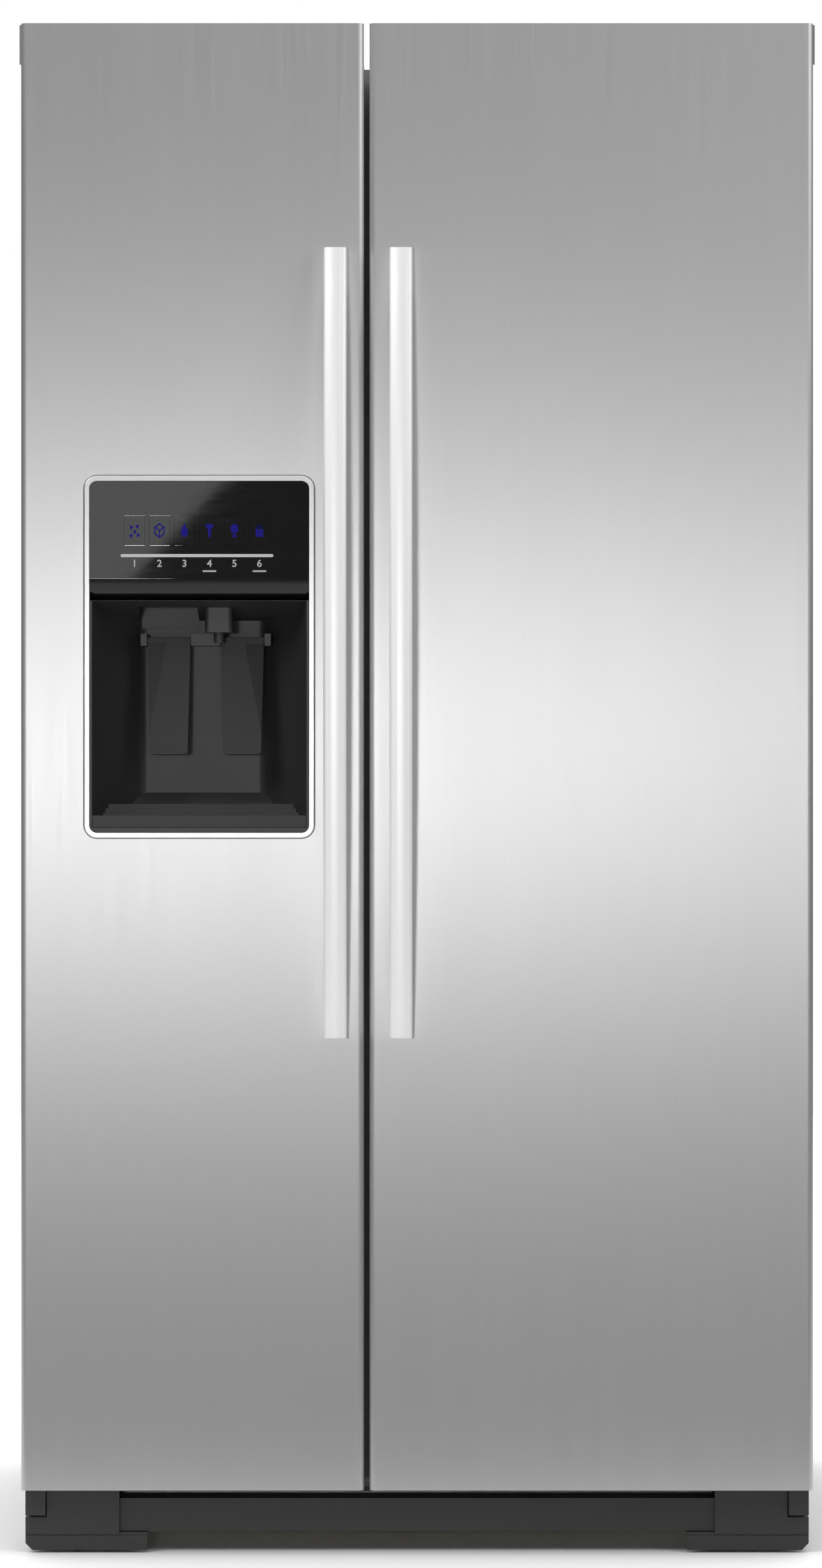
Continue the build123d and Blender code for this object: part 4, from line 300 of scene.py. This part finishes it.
LOWER_HINGES = 120.0         # door_hinges below this height are the black lower brackets


def dress_nodes():
    """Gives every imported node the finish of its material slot."""
    for part in frame["record"]["subparts"]:
        mesh = frame["nodes"][part["node"]].data
        mesh.materials.clear()
        mesh.materials.append(FINISHES[part["material_slot"]].material)


def refinish(node, finish, chosen=lambda middle: True):
    """Gives another finish to a node's faces, or to those whose middle point is chosen."""
    mesh = frame["nodes"][node].data
    mesh.materials.append(finish.material)
    index = len(mesh.materials) - 1
    for polygon in mesh.polygons:
        if chosen(polygon.center / MM):
            polygon.material_index = index


# ---------------------------------------------------------------- mesh pieces
def piece(name, body, finish, solids, smooth=False):
    """One object from several closed solids, each a (points, faces) pair in millimetres."""
    points, faces = [], []
    for some_points, some_faces in solids:
        offset = len(points)
        points += [tuple(c * MM for c in point) for point in some_points]
        faces += [[i + offset for i in face] for face in some_faces]
    mesh = bpy.data.meshes.new(name)
    mesh.from_pydata(points, [], faces)
    work = bmesh.new()
    work.from_mesh(mesh)
    bmesh.ops.recalc_face_normals(work, faces=work.faces)
    work.to_mesh(mesh)
    work.free()
    if smooth:
        mesh.shade_smooth()
    mesh.materials.append(finish.material)
    made = added(name, mesh)
    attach(made, body)
    return made


def tube_faces(levels, count):
    """Quadrilaterals between successive rings of count points each."""
    steps = [(i, (i + 1) % count) for i in range(count)]
    return [[low + i, low + j, low + count + j, low + count + i]
            for low in range(0, levels * count, count) for i, j in steps]


def end_caps(levels, count):
    """The faces that close such a tube at its first and its last ring."""
    last = levels * count
    return [list(range(count)), list(range(last, last + count))]


def front_prism(outline, y, depth):
    """A prism from an (x, z) outline, its front face at y, reaching back by depth."""
    points = [(x, at, z) for at in (y, y + depth) for x, z in outline]
    return points, end_caps(1, len(outline)) + tube_faces(1, len(outline))


def front_ring(outer, inner, y, depth):
    """A closed band between two (x, z) outlines with the same number of points."""
    count = len(outer)
    points = [(x, at, z) for at in (y, y + depth) for ring in (outer, inner) for x, z in ring]
    faces = []
    for i in range(count):
        j = (i + 1) % count
        for a, b in ((0, 1), (3, 2), (2, 0), (1, 3)):
            faces.append([a * count + i, a * count + j, b * count + j, b * count + i])
    return points, faces


STROKE_OVERLAP = 0.3         # each run of a line goes on past its ends by this share of its width


def stroke(line, width):
    """Outlines of a thick line through (x, z) points: one quadrilateral for each run."""
    for start, end in zip(line, line[1:]):
        along = (Vector(end) - Vector(start)).normalized()
        side = Vector((-along.y, along.x)) * width / 2
        past = along * width * STROKE_OVERLAP
        start, end = Vector(start) - past, Vector(end) + past
        yield [tuple(start + side), tuple(end + side), tuple(end - side), tuple(start - side)]


def arc(centre, radius, start, end, steps=12):
    """Points along an arc, angles in degrees."""
    angles = [math.radians(start + (end - start) * i / steps) for i in range(steps + 1)]
    return [(centre[0] + radius * math.cos(a), centre[1] + radius * math.sin(a)) for a in angles]


def rounded_rectangle(x, z, radius):
    """An outline between limits along x and z, with rounded corners."""
    corners = [(x[1], z[1], 0), (x[0], z[1], 90), (x[0], z[0], 180), (x[1], z[0], 270)]
    outline = []
    for cx, cz, start in corners:
        centre = (cx - math.copysign(radius, cx - sum(x) / 2),
                  cz - math.copysign(radius, cz - sum(z) / 2))
        outline += arc(centre, radius, start, start + 90, steps=6)
    return outline


def limits(node):
    """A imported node's box in millimetres, as ((x, x), (y, y), (z, z))."""
    low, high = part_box(node)
    return [(low[i] / MM, high[i] / MM) for i in range(3)]


# ---------------------------------------------------------------- dispenser panel
PRINT = 0.15                 # thickness of printed marks
SIGN_SCALE = (1.15, 1.45)    # from the signs' own units to millimetres
LINE_DROP = 12.0             # from the keys' lower edge down to the silver line's
LINE_HEIGHT = 3.6
LINE_REACH = 16.0            # past the middles of the outer keys
NUMBER_DROP = 7.5            # from the line's lower edge down to the numbers' middle
NUMBER_SIZE = 11.5
NUMBER_WEIGHT = 0.25         # by which the strokes of the numbers are thickened on each side
BAR_REACH = 8.0              # half the length of the short marks
BAR_DROPS = (17.0, 15.0)     # from the line's lower edge down to the marks' edges
BAR_CORNER = 0.9
MARKED_KEYS = (4, 6)         # the keys whose numbers have a short mark below them


# A sign is a list of (x, z) outlines round its middle, 10 to 12 of its own units high.
def drop_sign():
    return [[(0, 6), *arc((0, -1.5), 3.6, 30, -210)]]


def cube_sign():
    hexagon = arc((0, 0), 5.2, 30, 390, 6)
    spokes = [mark for corner in (0, 2, 4) for mark in stroke([(0, 0), hexagon[corner]], 1.0)]
    return [*stroke(hexagon, 1.1), *spokes]


def crushed_sign():
    shards = ((-3.2, 2.5, 10), (2.8, 3.2, 50), (0.2, -1.0, 80), (-3.4, -4.2, 35), (3.6, -3.6, 5))
    return [arc(centre, 2.3, turn, turn + 240, 2) for *centre, turn in shards]


def lamp_sign():
    bulb = arc((0, 1.5), 3.9, -60, 240)
    return [bulb, [(-1.8, -2.6), (1.8, -2.6), (1.8, -5.4), (-1.8, -5.4)]]


def lock_sign():
    case = [(-3.8, 1.0), (3.8, 1.0), (3.8, -5.0), (-3.8, -5.0)]
    return [case, *stroke(arc((0, 1.2), 2.6, 0, 180), 1.1)]


def filter_sign():
    return [[(-4.6, 5.0), (4.6, 5.0), (1.3, 0.2), (1.3, -5.2), (-1.3, -5.2), (-1.3, 0.2)]]


SIGNS = (crushed_sign, cube_sign, drop_sign, filter_sign, lamp_sign, lock_sign)   # left to right


def key_sign(number, sign):
    """Lights a sign on a key. Returns the key's middle and its lower edge."""
    key = f"dispenser_key_{number}"
    (left, right), (front, _), (low, high) = limits(key)
    middle, height = (left + right) / 2, (low + high) / 2
    outlines = [[(middle + SIGN_SCALE[0] * x, height + SIGN_SCALE[1] * z) for x, z in shape]
                for shape in sign()]
    solids = [front_prism(outline, front - PRINT, PRINT) for outline in outlines]
    piece(f"key_sign_{number}", key, BLUE_GLOW, solids)
    return middle, low


def panel_number(number, x, y, z):
    """A plain printed number, centred at a point."""
    text = bpy.data.curves.new(f"number_{number}", "FONT")
    text.body = str(number)
    text.size, text.extrude, text.offset = NUMBER_SIZE * MM, PRINT * MM / 2, NUMBER_WEIGHT * MM
    text.align_x, text.align_y = "CENTER", "CENTER"
    text.materials.append(PRINT_WHITE.material)
    made = added(f"panel_number_{number}", text)
    made.location = (x * MM, y * MM, z * MM)
    made.rotation_euler = (math.pi / 2, 0, 0)
    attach(made, "freezer_door")


def panel_marks():
    """Signs on the keys, the silver line below them, the numbers and two short marks."""
    places = [key_sign(number, sign) for number, sign in enumerate(SIGNS, 1)]
    middles = [middle for middle, _ in places]
    front = limits("dispenser_panel")[1][0]
    line_z = places[0][1] - LINE_DROP
    line = rounded_rectangle((middles[0] - LINE_REACH, middles[-1] + LINE_REACH),
                             (line_z, line_z + LINE_HEIGHT), LINE_HEIGHT / 2)
    piece("panel_line", "freezer_door", PRINT_SILVER,
          [front_prism(line, front - PRINT, PRINT)])
    for number, x in enumerate(middles, 1):
        panel_number(number, x, front - PRINT / 2, line_z - NUMBER_DROP)
    bar_z = [line_z - drop for drop in BAR_DROPS]
    bars = [rounded_rectangle((middles[key - 1] - BAR_REACH, middles[key - 1] + BAR_REACH), bar_z,
                              BAR_CORNER) for key in MARKED_KEYS]
    piece("panel_bars", "freezer_door", PRINT_WHITE,
          [front_prism(bar, front - PRINT, PRINT) for bar in bars])


GROOVE_RADIUS = 15.0         # of the bezel's outer corners
GROOVE_WIDTH = 0.9
GROOVE_TUCK = 0.2            # by which the groove's strip reaches under the bezel's edge
GROOVE_DEPTH = 0.12


def bezel_groove():
    """The fine dark line where the bezel's flange meets the door's sheet."""
    x, y, z = limits("dispenser_bezel")
    ring = [rounded_rectangle((x[0] - g, x[1] + g), (z[0] - g, z[1] + g), GROOVE_RADIUS + g)
            for g in (GROOVE_WIDTH, -GROOVE_TUCK)]
    piece("bezel_groove", "freezer_door", SEAM_GREY,
          [front_ring(*ring, y[1] - GROOVE_DEPTH, GROOVE_DEPTH)])


# ---------------------------------------------------------------- handles
HANDLE_LEVELS = 160
HANDLE_FOOT = 46.0           # length of the flat seat at each end
HANDLE_END = 24.0            # from the doors' face to the front of the bar's ends
HANDLE_EDGE = 5.0            # radius of the front's edges
HANDLE_BACK_EDGE = 3.0       # largest radius of the edges behind
HANDLE_CROWN = 1.4           # the front falls away by this much towards its edges
CROWN_STEPS = 8              # from the middle to each edge
BAR = 17.0                   # thickness of the bar at mid height


def arc_through(ends, middle):
    """Function y(z) of the circle through (y, z) points at both ends and the middle."""
    (end_y, low), (_, high) = ends
    sagitta, half = middle - end_y, (high - low) / 2
    radius = (half ** 2 + sagitta ** 2) / (2 * sagitta)

    def y(z):
        reach = math.sqrt(radius ** 2 - (z - (low + high) / 2) ** 2)
        return middle - radius + math.copysign(reach, radius)
    return y


def handle_section(half, front, back):
    """One level of the bar as (x, y): crowned front, rounded edges, small radii behind."""
    inner = half - HANDLE_EDGE
    across = [inner * i / CROWN_STEPS for i in range(-CROWN_STEPS, CROWN_STEPS + 1)]
    crown = [(x, front + HANDLE_CROWN * (x / inner) ** 2) for x in across]
    edge_y = front + HANDLE_CROWN + HANDLE_EDGE
    small = min(HANDLE_BACK_EDGE, (back - edge_y) / 2)
    right = [*arc((inner, edge_y), HANDLE_EDGE, -75, 0, 6),
             *arc((half - small, back - small), small, 0, 90, 4)]
    return [*crown, *right, *((-x, y) for x, y in reversed(right))]


def handle_bar(node, body):
    """The bowed bar, cut square at both ends, in smooth levels that lie closer near its ends."""
    (left, right), (front, _), (low, high) = limits(node)
    face, middle_x = limits("fridge_door_skin")[1][0], (left + right) / 2
    outer = arc_through(((face - HANDLE_END, low), (face - HANDLE_END, high)), front)
    inner = arc_through(((face, low + HANDLE_FOOT), (face, high - HANDLE_FOOT)), front + BAR)
    points, count = [], 0
    for level in range(HANDLE_LEVELS + 1):
        z = low + (high - low) * (1 - math.cos(math.pi * level / HANDLE_LEVELS)) / 2
        seated = z < low + HANDLE_FOOT or z > high - HANDLE_FOOT
        ring = handle_section((right - left) / 2, outer(z), face if seated else inner(z))
        count = len(ring)
        points += [(middle_x + x, y, z) for x, y in ring]
    faces = tube_faces(HANDLE_LEVELS, count) + end_caps(HANDLE_LEVELS, count)
    made = piece(f"{node}_bar", body, HANDLE_STEEL, [(points, faces)], smooth=True)
    for polygon in made.data.polygons:
        polygon.use_smooth = len(polygon.vertices) == 4
    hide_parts(node)


# ---------------------------------------------------------------- fasteners
COVER_SCREW_RADIUS = 4.0
COVER_SCREW_INSETS = (12, 170)         # from the machine cover's sides
COVER_SCREW_EDGE = 9                   # from its upper and lower edges
PANEL_SCREW_RADIUS = 3.4
PANEL_SCREW_INSET = 10                 # from the sides of the machine cover
PANEL_SCREW_SHARES = (0.08, 0.36, 0.64, 0.92)    # of the height above the machine cover


def turned(profile, base, steps=20):
    """A solid of revolution from (radius, height) pairs, standing out to the back from base."""
    turn = Vector((0, 0, 1)).rotation_difference(Vector((0, 1, 0))).to_matrix()
    points = []
    for radius, height in profile:
        for i in range(steps):
            angle = 2 * math.pi * i / steps
            local = Vector((radius * math.cos(angle), radius * math.sin(angle), height))
            points.append(tuple(Vector(base) + turn @ local))
    levels = len(profile) - 1
    return points, end_caps(levels, steps) + tube_faces(levels, steps)


def screw(base, radius):
    """A flanged hexagon-head sheet metal screw with a dished head."""
    flange = [(radius * 1.35, 0), (radius * 1.35, 0.5), (radius, 0.9)]
    head = [(radius * 0.95, 0.8), (radius * 0.95, 2.4), (radius * 0.8, 2.9),
            (radius * 0.45, 2.9), (radius * 0.4, 2.3)]
    return [turned(flange, base), turned(head, base, steps=6)]


def rear_screws():
    """Screws round the machine cover and up the rear panel."""
    (left, right), _, (low, high) = limits("rear_cover")
    _, (_, plane), (_, top) = limits("rear_panel")
    near, far = COVER_SCREW_INSETS
    solids = []
    for x in (left + near, left + far, 0.0, right - far, right - near):
        for z in (high - COVER_SCREW_EDGE, low + COVER_SCREW_EDGE):
            solids += screw((x, plane, z), COVER_SCREW_RADIUS)
    piece("rear_cover_screws", "cabinet", SCREW_STEEL, solids)
    solids = []
    for x in (left + PANEL_SCREW_INSET, right - PANEL_SCREW_INSET):
        for share in PANEL_SCREW_SHARES:
            solids += screw((x, plane, high + share * (top - high)), PANEL_SCREW_RADIUS)
    piece("rear_panel_screws", "cabinet", SCREW_STEEL, solids)


# ---------------------------------------------------------------- studio
CAMERA_DISTANCE = 5.5        # from the doors' face
CAMERA_X = -0.007
CAMERA_Z = 0.884
SENSOR = 36.0
VIEW_HEIGHT = 1.795          # at the doors' face, over the picture's whole height
DOOR_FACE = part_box("fridge_door_skin")[0].y
SKY_BANDS = (                # what reflections see: (degrees above the horizon, brightness)
    (-60, 0.90), (-30, 0.85), (-17, 0.45), (-4, 0.15),
    (22, 0.11), (36, 0.55), (50, 1.05), (80, 1.20),
)
FLOOR_X = (-5.0, 5.0)
FLOOR_Y = (-0.75, 7.0)       # stops close in front, so that the doors mirror the lower bands
SHADOW_REACH = 0.5           # how far off the floor's shade looks for what stands over it
FLOOR_LIFT = 0.5             # brightness that the camera sees added where nothing does
LIFT_POWER = 3.0
CARD_ROLL = -43.0            # leans the sheen in the gloss panel
LAMPS = (                    # name, place, target, width and height, watts, roll in degrees
    ("softbox", (-0.8, -5.9, 0.96), (-0.1, DOOR_FACE, 1.0), (0.5, 0.25), 33.0, 0),
    ("softbox_right", (1.1, -5.9, 1.10), (0.1, DOOR_FACE, 1.0), (0.6, 0.25), 5.0, 0),
    ("card", (-0.706, -7.0, 1.70), (-0.3, DOOR_FACE, 1.25), (0.4, 1.3), 2.8, CARD_ROLL),
    ("key", (-3.4, -2.9, 4.2), (0, 0, 0.9), (2.2, 2.2), 95.0, 0),
    ("fill", (3.8, -2.8, 3.0), (0, 0, 0.8), (2.4, 2.4), 45.0, 0),
    ("back", (0.0, 4.5, 3.6), (0, 0, 0.9), (3.0, 2.0), 60.0, 0),
)


def camera():
    """Square on to the doors, with the photograph's frame."""
    data = bpy.data.cameras.new("camera")
    data.sensor_width = SENSOR
    data.lens = SENSOR * CAMERA_DISTANCE / VIEW_HEIGHT
    made = added("camera", data)
    made.location = (CAMERA_X, DOOR_FACE - CAMERA_DISTANCE, CAMERA_Z)
    made.rotation_euler = (math.pi / 2, 0, 0)
    bpy.context.scene.camera = made


def lamp(name, place, target, size, power, roll):
    """A rectangular lamp that faces a point."""
    data = bpy.data.lights.new(name, "AREA")
    data.shape, data.size, data.size_y, data.energy = "RECTANGLE", *size, power
    made = added(name, data)
    made.location = place
    made.rotation_euler = (Vector(target) - Vector(place)).to_track_quat("-Z", "Y").to_euler()
    if roll:
        made.rotation_euler.rotate_axis("Z", math.radians(roll))


def world():
    """White to the camera and through clear pieces, and SKY_BANDS in reflections and as light."""
    made = bpy.data.worlds.new("studio")
    bpy.context.scene.world = made
    made.use_nodes = True
    graph = Graph(made.node_tree)
    graph.tree.nodes.clear()
    direction = graph.node("ShaderNodeTexCoord", {}, "Generated")
    upward = graph.node("ShaderNodeSeparateXYZ", {0: direction}, "Z")
    height = graph.node("ShaderNodeMapRange", {"Value": upward, "From Min": -1.0})
    ramp = graph.node("ShaderNodeValToRGB", {0: height})
    stops = ramp.node.color_ramp
    stops.interpolation = "EASE"
    for index, (degrees, level) in enumerate(SKY_BANDS):
        position = (math.sin(math.radians(degrees)) + 1) / 2
        stop = stops.elements[index] if index < 2 else stops.elements.new(position)
        stop.position = position
        stop.color = (level, level, level, 1.0)
    bands = graph.node("ShaderNodeBackground", {"Color": ramp})
    white = graph.node("ShaderNodeBackground", {"Color": WHITE})
    path = graph.tree.nodes.new("ShaderNodeLightPath").outputs
    seen = graph.calculate("MAXIMUM", path["Is Camera Ray"], path["Is Transmission Ray"])
    final = graph.node("ShaderNodeMixShader", {0: seen, 1: bands, 2: white})
    graph.feed(graph.tree.nodes.new("ShaderNodeOutputWorld"), {0: final})


def floor():
    """Pale floor, lifted to white where nothing shades it, so that only the shadow shows."""
    made = Finish("floor_white", (0.86, 0.86, 0.86), 0.9)
    made.tint(made.noise(3, detail=2.0), 0.99, 1.01)
    path = made.tree.nodes.new("ShaderNodeLightPath").outputs
    open_sky = made.node("ShaderNodeAmbientOcclusion", {"Distance": SHADOW_REACH}, "AO")
    lift = made.calculate("MULTIPLY",
                          made.calculate("MULTIPLY", path["Is Camera Ray"], FLOOR_LIFT),
                          made.calculate("POWER", open_sky, LIFT_POWER))
    made.shade(Emission_Color=WHITE, Emission_Strength=lift)
    mesh = bpy.data.meshes.new("floor")
    mesh.from_pydata([(x, y, 0) for y in FLOOR_Y for x in FLOOR_X], [], [[0, 1, 3, 2]])
    mesh.materials.append(made.material)
    plane = added("floor", mesh)


def studio():
    """The camera, the surroundings, the floor and the lamps."""
    camera()
    world()
    floor()
    for row in LAMPS:
        lamp(*row)
    bpy.context.scene.view_settings.view_transform = "Standard"


dress_nodes()
refinish("door_hinges", FINISHES["compressor_black"], lambda middle: middle.z < LOWER_HINGES)
refinish("dispenser_outlets", FINISHES["housing_black"])
refinish("ice_paddle", PADDLE_BLACK)
refinish("water_paddle", PADDLE_BLACK)
panel_marks()
handle_bar("freezer_handle", "freezer_door")
handle_bar("fridge_handle", "fridge_door")
bezel_groove()
rear_screws()
studio()
